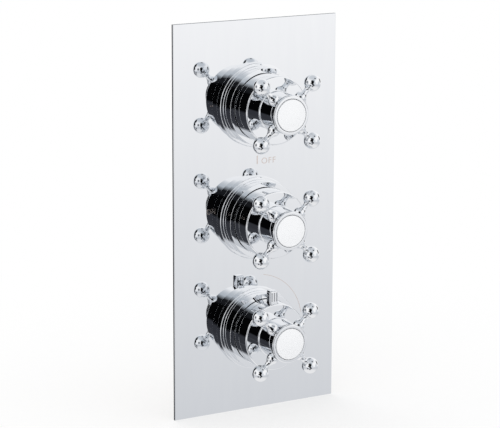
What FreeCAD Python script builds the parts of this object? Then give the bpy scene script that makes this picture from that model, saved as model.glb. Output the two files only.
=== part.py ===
import FreeCAD, Part
import math
import os
import re

import Sketcher

# Concealed thermostatic shower valve with three cross handles on one tall plate.
# The wall plane is Y = 0 and the middle handle's axis runs along Y through the origin.
# +X is to the right, +Z is up and -Y points to the user; +Y is inside the wall.
# The two upper handles open and close the outlets, the lowest one sets the temperature.

Vector = FreeCAD.Vector
Rotation = FreeCAD.Rotation

SIZES = (
    # plate and its seal
    ("plate_width", 138, "front plate, side to side"),
    ("plate_height", 300, "front plate, bottom to top"),
    ("plate_thickness", 2, "sheet of the front plate"),
    ("plate_edge", 0.4, "rounding of the plate's front edges"),
    ("seal_thickness", 1, "foam seal between plate and wall"),
    ("seal_inset", 3, "seal's distance from the plate's edge"),
    ("seal_strip", 8, "width of the seal's strip"),
    ("handle_pitch", 86, "from one handle's axis to the next"),
    # sleeve and collar round each handle
    ("sleeve_front", 9, "sleeve's end, ahead of the plate"),
    ("sleeve_grip", 6, "length of the sleeve's grip on the neck"),
    ("plate_hole_gap", 1, "room round the sleeve in the plate"),
    ("flange_height", 3, "thickness of the foot ring"),
    ("flange_step", 2.3, "foot ring's reach beyond the collar"),
    ("collar_height", 14, "collar's front, ahead of the plate"),
    ("collar_wall", 3.4, "collar's wall beside its recess"),
    ("collar_recess", 3.2, "depth of the collar's front recess"),
    ("collar_round", 0.7, "rounding of the collar's edges"),
    ("ring_thickness", 1.6, "section of the collar's sealing ring"),
    # handle
    ("skirt_radius", 25.5, "drum of the handle"),
    ("skirt_wall", 3, "side wall of the drum"),
    ("skirt_lift", 0.9, "drum's open edge, above the collar's recess"),
    ("skirt_front", 31.6, "drum's front face, ahead of the plate"),
    ("skirt_cap", 2.2, "front wall of the drum"),
    ("skirt_round", 0.9, "rounding of the drum's front edge"),
    ("skirt_gap", 0.4, "room between drum and collar"),
    ("hub_radius", 14.8, "hub that carries the spokes"),
    ("hub_front", 50.4, "hub's end, ahead of the plate"),
    ("hub_cove", 0.8, "cove at the foot of the hub"),
    ("core_wall", 3, "wall of the core inside the drum"),
    ("core_back", 17, "core's end, ahead of the plate"),
    ("web_drop", 10.4, "from the hub's end to the web that the screw clamps"),
    ("web_thickness", 3, "web that the screw clamps"),
    ("cap_sink", 1.4, "depth of the cap's seat in the hub"),
    ("hub_lip", 0.95, "hub's wall round the ring's neck"),
    ("bezel_step", 0.2, "ring round the cap, smaller than the hub"),
    ("bezel_groove", 0.4, "groove between hub and ring"),
    ("bezel_length", 1.9, "length of the ring's head"),
    ("bezel_round", 0.9, "rounding of the ring's front"),
    ("bezel_wall", 0.95, "wall of the ring's neck"),
    ("cap_lip", 0.8, "width of the cap's hidden flange"),
    ("cap_proud", 0.8, "cap's edge in front of the ring"),
    ("cap_dome", 1.1, "rise of the cap's crown"),
    ("cap_flange_thickness", 1.3, "thickness of the cap's flange"),
    ("fit_gap", 0.05, "radial gap of running fits"),
    ("seat_gap", 0.1, "gap at faces that only meet"),
    # spokes
    ("stud_radius", 2.2, "stud that screws into the hub"),
    ("spoke_drop", 4.3, "from the hub's end to the plane of the spokes"),
    ("boss_sink", 0.6, "depth of the flat that seats a spoke"),
    ("stud_length", 4.9, "stud inside the hub"),
    ("boss_out", 1.2, "centre of the spoke's bulb, from the hub's side"),
    ("waist_run", 6.1, "from the bulb to the thinnest place"),
    ("ball_run", 14.2, "from the bulb to the ball"),
    ("boss_radius", 4.4, "bulb at the spoke's foot"),
    ("waist_radius", 1.9, "radius at the thinnest place"),
    ("ball_radius", 6.25, "ball at the spoke's end"),
    # casting inside the wall
    ("chamber_front", 14, "chamber's shoulder, behind the wall plane"),
    ("chamber_wall", 8.5, "chamber's wall round its bore"),
    ("chamber_end", 12, "from the bore's floor to the casting's back"),
    ("chamber_floor", 34, "floor of the chamber's bore"),
    ("chamber_bore", 13.5, "bore that takes the cartridge"),
    ("neck_front", 6, "front of the neck"),
    ("neck_wall", 3, "wall of the neck that takes the sleeve"),
    ("sleeve_wall", 2.5, "wall of the threaded sleeve"),
    ("column_width", 28, "column that joins the chambers"),
    ("column_front", 18, "front of the column"),
    ("column_round", 7, "rounding of the column's front edges"),
    ("column_above", 14, "column above the top handle's axis"),
    ("column_below", 26, "column below the bottom handle's axis"),
    ("duct_radius", 4.4, "duct that feeds the chambers"),
    ("duct_port", 5.2, "opening from a chamber into the duct"),
    ("duct_cover", 6, "duct's axis, in front of the casting's back"),
    ("port_bore", 8.5, "bore of inlet and outlet bosses"),
    ("port_wall", 4, "wall of inlet and outlet bosses"),
    ("port_length", 8, "length of the bosses beyond a chamber"),
    ("port_margin", 0.5, "from a port to the floor of its chamber"),
    ("lug_span", 64, "fixing lug, side to side"),
    ("lug_height", 16, "height of a fixing lug"),
    ("lug_thickness", 6, "thickness of a fixing lug"),
    ("lug_round", 7, "rounding of a lug's corners"),
    ("lug_hole_radius", 2.75, "screw hole in a lug"),
    ("lug_hole_spacing", 48, "screw holes, side to side"),
    # unions, washers, strainers and check valves
    ("union_flats", 27, "hexagon of a union, across flats"),
    ("union_length", 16, "length of a union's hexagon"),
    ("union_thread", 9.32, "inside thread of a union"),
    ("union_spigot", 8, "length of a union's spigot"),
    ("spigot_wall", 2, "wall of a union's spigot"),
    ("union_floor", 1.2, "wall behind the inside thread"),
    ("hexagon_chamfer", 1.4, "chamfer at a hexagon's corners, along the axis"),
    ("washer_thickness", 0.8, "washer under a union"),
    ("strainer_length", 9, "length of the strainer thimble"),
    ("strainer_wall", 0.4, "wall of the strainer thimble"),
    ("check_length", 7.5, "length of the check valve's cage"),
    ("cage_wall", 1.9, "wall of the check valve's cage"),
    ("check_lip", 1.4, "thickness of the check valve's seat"),
    ("check_seat", 4, "opening of the check valve's seat"),
    ("check_web", 1.3, "thickness of the check valve's spider"),
    ("poppet_room", 1, "room round the check valve's disc"),
    ("poppet_thickness", 1.1, "thickness of the check valve's disc"),
    ("stem_radius", 1, "stem of the check valve"),
    ("stem_inset", 0.6, "stem's end inside the cage"),
    ("plug_flats", 11, "hexagon of the duct plug, across flats"),
    # cartridges
    ("cartridge_wall", 1.8, "wall of a cartridge"),
    ("cartridge_gap", 0.1, "room round a cartridge"),
    ("cartridge_short", 0.8, "from a cartridge to the chamber's floor"),
    ("gland_front", 1, "front of the cartridge's hexagon"),
    ("nose_wall", 3, "wall of a cartridge's nose"),
    ("nose_front", 5, "nose's end, ahead of the plate"),
    ("spindle_radius", 5, "spindle in its bore"),
    ("spline_step", 1, "spindle's outer end, thinner by"),
    ("adaptor_wall", 3, "wall of the bush between spindle and handle"),
    ("foot_front", 13.5, "front of the spindle's foot"),
    ("foot_flange", 3, "thickness of the foot's flange"),
    ("foot_room", 2.6, "room round the spindle's foot"),
    ("disc_thickness", 3, "thickness of a ceramic disc"),
    ("disc_room", 0.3, "room round the ceramic discs"),
    ("window_rim", 3, "from a disc's windows to the cartridge's wall"),
    ("seat_thickness", 3.1, "rubber seat behind the discs"),
    ("window_inner", 3.5, "inner edge of a disc's windows"),
    ("window_radius", 4, "side windows of a flow cartridge"),
    ("gland_ring", 1.4, "section of the spindle's sealing ring"),
    ("screw_radius", 2.5, "thread of the handle's screw"),
    ("screw_head", 4.2, "head of the handle's screw"),
    ("screw_length", 12, "length of the screw's shank"),
    ("screw_head_height", 3, "height of the screw's head"),
    ("screw_socket", 4, "socket in the screw's head, across flats"),
    ("access_radius", 6, "way in to the handle's screw"),
    # temperature control
    ("drum_split", 20.4, "drum's open edge on the temperature handle"),
    ("split_gap", 0.3, "gap between the drum and the stop ring"),
    ("stop_room", 0.5, "from the pressed tail to the stop ring's step"),
    ("button_height", 26, "button's centre, ahead of the plate"),
    ("button_width", 7, "button, side to side"),
    ("button_depth", 6, "button, front to back"),
    ("button_proud", 9.5, "button's tip, beyond the drum"),
    ("button_round", 1.1, "rounding of the button"),
    ("button_gap", 0.2, "room round the button"),
    ("rib_groove", 0.8, "groove between the button's ribs"),
    ("rib_spacing", 2, "from one groove to the next"),
    ("rib_depth", 0.4, "depth of the grooves"),
    ("rib_margin", 1.3, "from the grooves' ends to the drum and the tip"),
    ("button_shoulder", 10.6, "button's hidden shoulder, side to side"),
    ("shoulder_room", 0.9, "from the shoulder to the drum's inside"),
    ("shoulder_thickness", 1.6, "thickness of the shoulder"),
    ("tail_back", 16.5, "end of the button's tail, ahead of the plate"),
    ("button_coil", 2.2, "mean radius of the button's spring"),
    ("button_wire", 0.35, "half the wire of the button's spring"),
    ("thread_radius", 4, "coarse thread that moves the nut"),
    ("thread_end", 13, "end of the coarse thread"),
    ("nut_corner_room", 0.6, "from the drive nut's corners to the cartridge's inside"),
    ("nut_front", 9.4, "front of the drive nut"),
    ("nut_back", 16, "back of the drive nut"),
    ("nut_web", 1.2, "closed end of the drive nut"),
    ("nut_room", 0.6, "way left behind the drive nut"),
    ("wax_pin", 2.2, "push pin of the wax element"),
    ("wax_shoulder", 18, "front of the wax capsule"),
    ("wax_radius", 4.5, "wax capsule"),
    ("wax_overhang", 2.1, "capsule's end behind the shuttle"),
    ("shuttle_wall", 1.8, "wall of the shuttle"),
    ("hot_lead", 5.8, "hot ports, in front of the inlets' axis"),
    ("cold_lag", 3.8, "cold ports, behind the inlets' axis"),
    ("hot_overlap", 1.2, "shuttle's front edge, behind the hot ports' axis"),
    ("cold_overlap", 1.4, "shuttle's back edge, in front of the cold ports' axis"),
    ("shuttle_web", 1.6, "thickness of the shuttle's web"),
    ("return_wire", 0.7, "half the wire of the return spring"),
    ("mix_port_radius", 2.5, "radius of a hot or cold port"),
)

# Sizes that follow from others. Heights run forwards from the plate's front face, depths run
# backwards from the wall plane, and reaches are from the axis of a handle or a port.
WORKED_OUT = {
    # collar and drum
    "collar_radius": "skirt_radius + skirt_gap + collar_wall",
    "flange_radius": "collar_radius + flange_step",
    "ring_reach": "collar_radius - flange_step",
    "skirt_back": "collar_height - collar_recess + skirt_lift",
    # hub, ring and cap
    "web_front": "hub_front - web_drop",
    "web_back": "web_front - web_thickness",
    "cap_seat": "hub_front - cap_sink",
    "bezel_neck": "hub_radius - hub_lip",
    "bezel_radius": "hub_radius - bezel_step",
    "bezel_back": "hub_front + bezel_groove",
    "bezel_front": "bezel_back + bezel_length",
    "cap_flange": "bezel_neck - bezel_wall",
    "cap_radius": "cap_flange - cap_lip",
    "cap_edge": "bezel_front + cap_proud",
    "cap_crown": "cap_edge + cap_dome",
    # spokes
    "spoke_height": "hub_front - spoke_drop",
    "boss_seat": "hub_radius - boss_sink",
    "boss_reach": "hub_radius + boss_out",
    "spoke_root": "boss_seat - stud_length",
    "waist_reach": "boss_reach + waist_run",
    "ball_reach": "boss_reach + ball_run",
    # casting
    "neck_radius": "chamber_bore + neck_wall",
    "sleeve_radius": "neck_radius + sleeve_wall",
    "chamber_radius": "chamber_bore + chamber_wall",
    "chamber_back": "chamber_floor + chamber_end",
    "column_top": "handle_pitch + column_above",
    "column_bottom": "handle_pitch + column_below",
    "duct_depth": "chamber_back - duct_cover",
    "port_depth": "chamber_floor - port_bore - port_margin",
    "port_radius": "port_bore + port_wall",
    "port_reach": "chamber_radius + port_length",
    # unions and check valves
    "union_waterway": "port_bore - spigot_wall",
    "check_front": "port_reach - union_spigot - 2 * seat_gap",
    "check_back": "check_front - check_length",
    "check_room": "port_bore - cage_wall",
    "poppet_radius": "check_room - poppet_room",
    "stem_end": "check_back + stem_inset",
    # cartridges, from the floor of their chamber forwards
    "cartridge_radius": "chamber_bore - cartridge_gap",
    "cartridge_end": "chamber_floor - cartridge_short",
    "cavity_radius": "cartridge_radius - cartridge_wall",
    "gland_flats": "2 * chamber_bore",
    "spindle_bore": "spindle_radius + fit_gap",
    "nose_radius": "spindle_radius + nose_wall",
    "spline_radius": "spindle_radius - spline_step",
    "adaptor_radius": "spline_radius + adaptor_wall",
    "core_radius": "adaptor_radius + core_wall",
    "spline_end": "web_back - 5 * seat_gap",
    "screw_tip": "web_front - screw_length",
    "disc_radius": "cavity_radius - disc_room",
    "window_outer": "cavity_radius - window_rim",
    "seat_bore": "window_outer + 2 * seat_gap",
    "seat_front": "chamber_floor - seat_gap - seat_thickness",
    "disc_front": "seat_front - 2 * disc_thickness - 2 * seat_gap",
    "foot_end": "disc_front - seat_gap",
    "spindle_foot": "cavity_radius - foot_room",
    "window_depth": "foot_end - window_radius + foot_flange / 6",
    # temperature control
    "stop_front": "drum_split - split_gap",
    "shoulder_outer": "skirt_radius - skirt_wall - shoulder_room",
    "shoulder_inner": "shoulder_outer - shoulder_thickness",
    "stop_inner": "shoulder_inner - stop_room",
    "button_top": "skirt_radius + button_proud",
    "nut_corner": "cavity_radius - nut_corner_room",
    "hot_ports": "port_depth - hot_lead",
    "cold_ports": "port_depth + cold_lag",
    "shuttle_front": "hot_ports + hot_overlap",
    "shuttle_back": "cold_ports - cold_overlap",
    "shuttle_middle": "(shuttle_front + shuttle_back) / 2",
    "shuttle_bore": "cavity_radius - fit_gap - shuttle_wall",
    "wax_back": "shuttle_back + wax_overhang",
    "return_coil": "cavity_radius * 0.6",
}

# Turns that the design fixes, in degrees.
SPOKE_ANGLE = 45
STOP_SECTOR = (-12, 137)
PORT_FAN = 70
WINDOW_SECTORS = ((50, 130), (230, 310))
SPIDER_SECTOR = (-45, 45)

doc = FreeCAD.newDocument("shower_valve")
sheet = doc.addObject("Spreadsheet::Sheet", "Sizes")
for row, (alias, figure, note) in enumerate(SIZES, 1):
    sheet.set(f"A{row}", note)
    sheet.set(f"B{row}", str(figure))
    sheet.setAlias(f"B{row}", alias)
doc.recompute()

ALIASES = {alias for alias, figure, note in SIZES}
PLATE_FRONT = "(-seal_thickness - plate_thickness)"
HANDLES = (("top", "handle_pitch"), ("middle", "0"), ("bottom", "-handle_pitch"))
parts = []


def ahead(height):
    """Y of a height measured forwards from the plate's front face."""
    return f"({PLATE_FRONT} - ({height}))"


def linked(expression):
    """The same expression, with sizes that follow spelled out and the others read from the sheet."""
    def spell(word):
        name = word[0]
        if name in WORKED_OUT:
            return f"({linked(WORKED_OUT[name])})"
        return f"Sizes.{name}" if name in ALIASES else name
    return re.sub(r"[a-z_]+", spell, expression)


def number(expression):
    return float(sheet.evalExpression(linked(expression)))


# ---- sketches ----------------------------------------------------------------------------


def bind(sketch, kind, where, expression):
    """Adds one constraint whose value follows the sheet."""
    if expression == "0":
        axis = -2 if kind == "DistanceX" else -1
        sketch.addConstraint(Sketcher.Constraint("PointOnObject", *where, axis))
        return
    index = sketch.addConstraint(Sketcher.Constraint(kind, *where, number(expression)))
    sketch.setExpression(f"Constraints[{index}]", linked(expression))


def place_point(sketch, where, x, y):
    bind(sketch, "DistanceX", where, x)
    bind(sketch, "DistanceY", where, y)


def new_sketch(body, name, plane, offset="0", turn=None):
    """A sketch on one of the body's own planes, moved along its normal and turned if asked."""
    sketch = body.newObject("Sketcher::SketchObject", name)
    support = next(item for item in body.Origin.OriginFeatures if item.Role == plane)
    sketch.AttachmentSupport = [(support, "")]
    sketch.MapMode = "FlatFace"
    rotation = Rotation(Vector(1, 0, 0), turn) if turn else Rotation()
    base = rotation.multVec(Vector(0, 0, number(offset)))
    sketch.AttachmentOffset = FreeCAD.Placement(base, rotation)
    if offset != "0":
        for letter, share in zip("yz", (-math.sin(math.radians(turn or 0)), math.cos(math.radians(turn or 0)))):
            if abs(share) > 1e-9:
                sketch.setExpression(f"AttachmentOffset.Base.{letter}", f"({linked(offset)}) * {share:.12f}")
    return sketch


def outline(sketch, corners):
    """A closed outline. A corner with a third item starts an arc centred on the vertical axis."""
    spots = [Vector(number(corner[0]), number(corner[1]), 0) for corner in corners]
    joints = []
    first = sketch.GeometryCount
    for index, corner in enumerate(corners):
        start = spots[index]
        end = spots[(index + 1) % len(spots)]
        if len(corner) == 3:
            middle_y = (end.x ** 2 + end.y ** 2 - start.x ** 2 - start.y ** 2) / (2 * (end.y - start.y))
            centre = Vector(0, middle_y, 0)
            ends = sorted((start, end), key=lambda spot: math.atan2(spot.y - middle_y, spot.x))
            angles = [math.atan2(spot.y - middle_y, spot.x) for spot in ends]
            circle = Part.Circle(centre, Vector(0, 0, 1), (start - centre).Length)
            arc = sketch.addGeometry(Part.ArcOfCircle(circle, *angles))
            sketch.addConstraint(Sketcher.Constraint("PointOnObject", arc, 3, -2))
            joints.append((1, 2) if ends[0] == start else (2, 1))
        else:
            sketch.addGeometry(Part.LineSegment(start, end))
            joints.append((1, 2))
    for index, corner in enumerate(corners):
        following = (index + 1) % len(corners)
        sketch.addConstraint(Sketcher.Constraint(
            "Coincident", first + index, joints[index][1], first + following, joints[following][0]))
        place_point(sketch, (first + index, joints[index][0]), corner[0], corner[1])


def ring(sketch, x, y, radius):
    """A full circle."""
    circle = Part.Circle(Vector(number(x), number(y), 0), Vector(0, 0, 1), number(radius))
    index = sketch.addGeometry(circle)
    place_point(sketch, (index, 3), x, y)
    bind(sketch, "Radius", (index,), radius)


def box_corners(left, bottom, right, top):
    return [(left, bottom), (right, bottom), (right, top), (left, top)]


def hexagon_corners(reach):
    """Corners of a hexagon round the sketch's origin, with a corner on the first axis."""
    shares = [(math.cos(math.pi * k / 3), math.sin(math.pi * k / 3)) for k in range(6)]
    return [tuple(f"({reach}) * {share:.12f}" if abs(share) > 1e-9 else "0" for share in pair) for pair in shares]


def sector(sketch, inner, outer, start_angle, end_angle):
    """A ring sector round the sketch's origin, between two angles in degrees."""
    angles = [math.radians(start_angle), math.radians(end_angle)]
    arcs = []
    for radius in (inner, outer):
        circle = Part.Circle(Vector(0, 0, 0), Vector(0, 0, 1), number(radius))
        arc = sketch.addGeometry(Part.ArcOfCircle(circle, *angles))
        sketch.addConstraint(Sketcher.Constraint("Coincident", arc, 3, -1, 1))
        bind(sketch, "Radius", (arc,), radius)
        arcs.append(arc)
    for end, angle in enumerate(angles, 1):
        ray = Vector(math.cos(angle), math.sin(angle), 0)
        line = sketch.addGeometry(Part.LineSegment(ray * number(inner), ray * number(outer)))
        sketch.addConstraint(Sketcher.Constraint("Coincident", line, 1, arcs[0], end))
        sketch.addConstraint(Sketcher.Constraint("Coincident", line, 2, arcs[1], end))
        sketch.addConstraint(Sketcher.Constraint("PointOnObject", -1, 1, line))
        sketch.addConstraint(Sketcher.Constraint("Angle", line, angle))


def corner_reach(flats):
    """Distance from a hexagon's centre to its corners, from its size across flats."""
    return f"({flats}) / {math.sqrt(3):.12f}"


# ---- bodies and features -----------------------------------------------------------------


def new_body(label, base=("0", "0", "0"), rotation=None):
    """An empty sub-part that is written out under its label."""
    body = doc.addObject("PartDesign::Body", label)
    body.Label = label
    body.AllowCompound = True
    body.Placement = FreeCAD.Placement(Vector(*(number(item) for item in base)), rotation or Rotation())
    for letter, item in zip("xyz", base):
        if item != "0":
            body.setExpression(f"Placement.Base.{letter}", linked(item))
    parts.append(body)
    return body


def axis_of(body, letter):
    return next(item for item in body.Origin.OriginFeatures if item.Role == f"{letter}_Axis")


def revolve(body, sketch, axis="V_Axis", cut=False):
    feature = body.newObject("PartDesign::Groove" if cut else "PartDesign::Revolution", sketch.Name + "_turn")
    feature.Profile = sketch
    feature.ReferenceAxis = (sketch, [axis])
    feature.Angle = 360
    return feature


def extrude(body, sketch, length, cut=False, both_ways=False, reverse=False):
    """A pad or pocket. It must change the solid, or it points the wrong way."""
    doc.recompute()
    before = body.Tip.Shape.Volume if cut else 0
    feature = body.newObject("PartDesign::Pocket" if cut else "PartDesign::Pad", sketch.Name + "_run")
    feature.Profile = sketch
    feature.Length = number(length)
    feature.setExpression("Length", linked(length))
    feature.Midplane = both_ways
    feature.Reversed = reverse
    doc.recompute()
    if cut and feature.Shape.Volume > before - 1e-3:
        raise ValueError(f"{feature.Name} removes nothing")
    return feature


def repeat_round(body, features, letter, count, angle=360):
    pattern = body.newObject("PartDesign::PolarPattern", features[0].Name + "_round")
    pattern.Originals = features
    pattern.Axis = (axis_of(body, letter), [""])
    pattern.Angle = angle
    pattern.Occurrences = count
    body.Tip = pattern
    return pattern


def repeat_along(body, features, letter, length, count, reverse=False):
    pattern = body.newObject("PartDesign::LinearPattern", features[0].Name + "_row")
    pattern.Originals = features
    pattern.Direction = (axis_of(body, letter), [""])
    pattern.Length = number(length)
    pattern.setExpression("Length", linked(length))
    pattern.Occurrences = count
    pattern.Reversed = reverse
    body.Tip = pattern
    return pattern


def ring_edges(shape, radius, depth):
    """Names of the circular edges with this radius at this depth along Y."""
    names = []
    for index, edge in enumerate(shape.Edges, 1):
        curve = edge.Curve
        if isinstance(curve, Part.Circle) and abs(curve.Radius - radius) < 0.01 \
                and abs(curve.Center.y - depth) < 0.01:
            names.append(f"Edge{index}")
    return names


def edges_between(shape, test):
    """Names of the edges whose every end point passes the test."""
    return [f"Edge{index}" for index, edge in enumerate(shape.Edges, 1)
            if all(test(vertex.Point) for vertex in edge.Vertexes)]


def soften(body, feature, names, radius, kind="Fillet"):
    """Rounds or chamfers the named edges."""
    if not names:
        raise ValueError(f"{body.Label} has no such edge to soften")
    rounding = body.newObject(f"PartDesign::{kind}", f"{body.Label}_{kind.lower()}")
    rounding.Base = (feature, names)
    key = "Radius" if kind == "Fillet" else "Size"
    setattr(rounding, key, number(radius))
    rounding.setExpression(key, linked(radius))
    doc.recompute()
    return rounding


def soften_rings(body, feature, rings, radius, kind):
    doc.recompute()
    names = []
    for ring_radius, depth in rings:
        names += ring_edges(feature.Shape, number(ring_radius), number(depth))
    return soften(body, feature, names, radius, kind)


def turned(label, corners, base=("0", "0", "0"), rotation=None):
    """A sub-part turned from an outline of (radius, depth) corners round the body's Y axis."""
    body = new_body(label, base, rotation)
    sketch = new_sketch(body, f"{label}_profile", "XY_Plane")
    outline(sketch, corners)
    return body, revolve(body, sketch)


def square_ring(label, reach, half, depth, base):
    """A rubber ring of square section."""
    body = new_body(label, base)
    sketch = new_sketch(body, f"{label}_profile", "XY_Plane")
    outline(sketch, box_corners(f"{reach} - {half}", f"{depth} - {half}", f"{reach} + {half}", f"{depth} + {half}"))
    return body, revolve(body, sketch)


def coil(label, reach, wire, start, length, turns, base, rotation=None):
    """A helical spring of square wire along the body's Y axis."""
    body = new_body(label, base, rotation)
    sketch = new_sketch(body, f"{label}_wire", "XY_Plane")
    outline(sketch, box_corners(f"{reach} - {wire}", f"{start} - {wire}", f"{reach} + {wire}", f"{start} + {wire}"))
    feature = body.newObject("PartDesign::AdditiveHelix", f"{label}_helix")
    feature.Profile = sketch
    feature.ReferenceAxis = (sketch, ["V_Axis"])
    feature.Mode = "height-turns-angle"
    feature.Height = number(length)
    feature.setExpression("Height", linked(length))
    feature.Turns = turns
    return body


def chamfer_hexagon(body, flats, *ends):
    """Turns the corners off a hexagon's ends. Each end is a depth and the way into the metal."""
    inner = f"({flats} / 2 - seat_gap)"
    outer = f"({flats} * 0.6)"
    slope = f"hexagon_chamfer * ({outer} - {inner}) / ({corner_reach(flats)} - {inner})"
    for count, (depth, inwards) in enumerate(ends):
        sketch = new_sketch(body, f"{body.Label}_bevel_{count}", "XY_Plane")
        outline(sketch, [(inner, depth), (outer, depth), (outer, f"{depth} {inwards} {slope}")])
        revolve(body, sketch, cut=True)


# ---- front plate and seal ----------------------------------------------------------------


def front_plate():
    """Sheet with three holes for the sleeves, its front edges just broken."""
    body = new_body("front_plate")
    sketch = new_sketch(body, "plate_outline", "XZ_Plane", "seal_thickness")
    outline(sketch, box_corners("-plate_width / 2", "-plate_height / 2", "plate_width / 2", "plate_height / 2"))
    for place, height in HANDLES:
        ring(sketch, "0", height, "sleeve_radius + plate_hole_gap")
    sheet_metal = extrude(body, sketch, "plate_thickness")
    front = number(PLATE_FRONT)
    half_width = number("plate_width / 2")
    names = edges_between(sheet_metal.Shape, lambda spot: abs(spot.y - front) < 0.01 and (
        abs(abs(spot.x) - half_width) < 0.01))
    soften(body, sheet_metal, names, "plate_edge")


def plate_seal():
    """Foam frame that the plate presses against the tiles. Its back face is the wall plane."""
    body = new_body("plate_seal")
    sketch = new_sketch(body, "seal_outline", "XZ_Plane")
    for inset in ("seal_inset", "(seal_inset + seal_strip)"):
        half_width = f"(plate_width / 2 - {inset})"
        half_height = f"(plate_height / 2 - {inset})"
        outline(sketch, box_corners(f"-{half_width}", f"-{half_height}", half_width, half_height))
    extrude(body, sketch, "seal_thickness")


# ---- sleeves and collars -----------------------------------------------------------------


def extension_sleeves():
    """Threaded tubes that carry the collars, one on the neck of each chamber."""
    body, tube = turned("extension_sleeves", [
        ("neck_radius + fit_gap", "neck_front + sleeve_grip"),
        ("sleeve_radius", "neck_front + sleeve_grip"),
        ("sleeve_radius", ahead("sleeve_front")),
        ("neck_radius + fit_gap", ahead("sleeve_front")),
    ], ("0", "0", "-handle_pitch"))
    repeat_along(body, [tube], "Z", "2 * handle_pitch", 3)


def collar(place, height):
    """Stepped ring that screws down the sleeve and clamps the plate to the wall."""
    bore = "sleeve_radius + fit_gap"
    groove = "(ring_thickness / 2 + 2 * seat_gap)"
    groove_floor = ahead("ring_thickness + seat_gap")
    recess = "skirt_radius + skirt_gap"
    recess_floor = ahead("collar_height - collar_recess")
    body, blank = turned(f"{place}_collar", [
        (bore, PLATE_FRONT),
        (f"ring_reach - {groove}", PLATE_FRONT),
        (f"ring_reach - {groove}", groove_floor),
        (f"ring_reach + {groove}", groove_floor),
        (f"ring_reach + {groove}", PLATE_FRONT),
        ("flange_radius", PLATE_FRONT),
        ("flange_radius", ahead("flange_height")),
        ("collar_radius", ahead("flange_height")),
        ("collar_radius", ahead("collar_height")),
        (recess, ahead("collar_height")),
        (recess, recess_floor),
        (bore, recess_floor),
    ], ("0", "0", height))
    soften_rings(body, blank, [
        ("flange_radius", ahead("flange_height")),
        ("collar_radius", ahead("flange_height")),
        ("collar_radius", ahead("collar_height")),
    ], "collar_round", "Fillet")


def collar_rings():
    body, rubber = square_ring("collar_rings", "ring_reach", "(ring_thickness / 2)",
                               ahead("ring_thickness / 2"), ("0", "0", "-handle_pitch"))
    repeat_along(body, [rubber], "Z", "2 * handle_pitch", 3)


# ---- casting inside the wall -------------------------------------------------------------


def valve_body():
    """Brass casting: three chambers on a column, two inlets, two outlets and fixing lugs."""
    body = new_body("valve_body")
    sketch = new_sketch(body, "column_outline", "XY_Plane", "-column_bottom")
    outline(sketch, box_corners("-column_width / 2", "column_front", "column_width / 2", "chamber_back"))
    column = extrude(body, sketch, "column_bottom + column_top")
    front = number("column_front")
    names = edges_between(column.Shape, lambda spot: abs(spot.y - front) < 0.01)
    upright = [name for name in names
               if abs(column.Shape.getElement(name).BoundBox.ZLength) > number("column_width")]
    soften(body, column, upright, "column_round")

    sketch = new_sketch(body, "chamber_profile", "XY_Plane", "-handle_pitch")
    outline(sketch, [
        ("0", "neck_front"), ("neck_radius", "neck_front"), ("neck_radius", "chamber_front"),
        ("chamber_radius", "chamber_front"), ("chamber_radius", "chamber_back"), ("0", "chamber_back"),
    ])
    chamber = revolve(body, sketch)
    repeat_along(body, [chamber], "Z", "2 * handle_pitch", 3)

    # bosses: both inlets in one run, the side outlet and the top outlet
    for name, height, both_ways, length in (
            ("inlet_bosses", "-handle_pitch", True, "2 * port_reach"), ("side_boss", "0", False, "port_reach")):
        sketch = new_sketch(body, name, "YZ_Plane")
        ring(sketch, "port_depth", height, "port_radius")
        extrude(body, sketch, length, both_ways=both_ways)
    sketch = new_sketch(body, "top_boss", "XY_Plane", "handle_pitch")
    ring(sketch, "0", "port_depth", "port_radius")
    extrude(body, sketch, "port_reach")

    # fixing lugs on the casting's back, between the chambers
    sketch = new_sketch(body, "lug_outline", "XZ_Plane", "-chamber_back")
    for height in ("-handle_pitch / 2", "handle_pitch / 2"):
        outline(sketch, box_corners("-lug_span / 2", f"{height} - lug_height / 2",
                                    "lug_span / 2", f"{height} + lug_height / 2"))
    lugs = extrude(body, sketch, "lug_thickness")
    half_span = number("lug_span / 2")
    names = [name for name in edges_between(lugs.Shape, lambda spot: abs(abs(spot.x) - half_span) < 0.01)
             if lugs.Shape.getElement(name).BoundBox.YLength > 1]
    soften(body, lugs, names, "lug_round")
    sketch = new_sketch(body, "lug_holes", "XZ_Plane", "-chamber_back")
    for side in ("-lug_hole_spacing / 2", "lug_hole_spacing / 2"):
        for height in ("-handle_pitch / 2", "handle_pitch / 2"):
            ring(sketch, side, height, "lug_hole_radius")
    extrude(body, sketch, "lug_thickness", cut=True, reverse=True)

    # bores for the cartridges with their ports into the duct
    sketch = new_sketch(body, "bore_profile", "XY_Plane", "-handle_pitch")
    outline(sketch, [
        ("0", "neck_front"), ("chamber_bore", "neck_front"), ("chamber_bore", "chamber_floor"),
        ("duct_port", "chamber_floor"), ("duct_port", "duct_depth"), ("0", "duct_depth"),
    ])
    bore = revolve(body, sketch, cut=True)
    repeat_along(body, [bore], "Z", "2 * handle_pitch", 3)

    # duct drilled up through the column from its lower end
    sketch = new_sketch(body, "duct_outline", "XY_Plane", "-column_bottom")
    ring(sketch, "0", "duct_depth", "duct_radius")
    extrude(body, sketch, "column_bottom + handle_pitch", cut=True, reverse=True)

    # waterways through the bosses
    sketch = new_sketch(body, "inlet_bores", "YZ_Plane")
    ring(sketch, "port_depth", "-handle_pitch", "port_bore")
    extrude(body, sketch, "2 * port_reach", cut=True, both_ways=True)
    sketch = new_sketch(body, "side_bore", "YZ_Plane")
    ring(sketch, "port_depth", "0", "port_bore")
    extrude(body, sketch, "port_reach", cut=True, reverse=True)
    sketch = new_sketch(body, "top_bore", "XY_Plane", "handle_pitch")
    ring(sketch, "0", "port_depth", "port_bore")
    extrude(body, sketch, "port_reach", cut=True, reverse=True)


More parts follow.
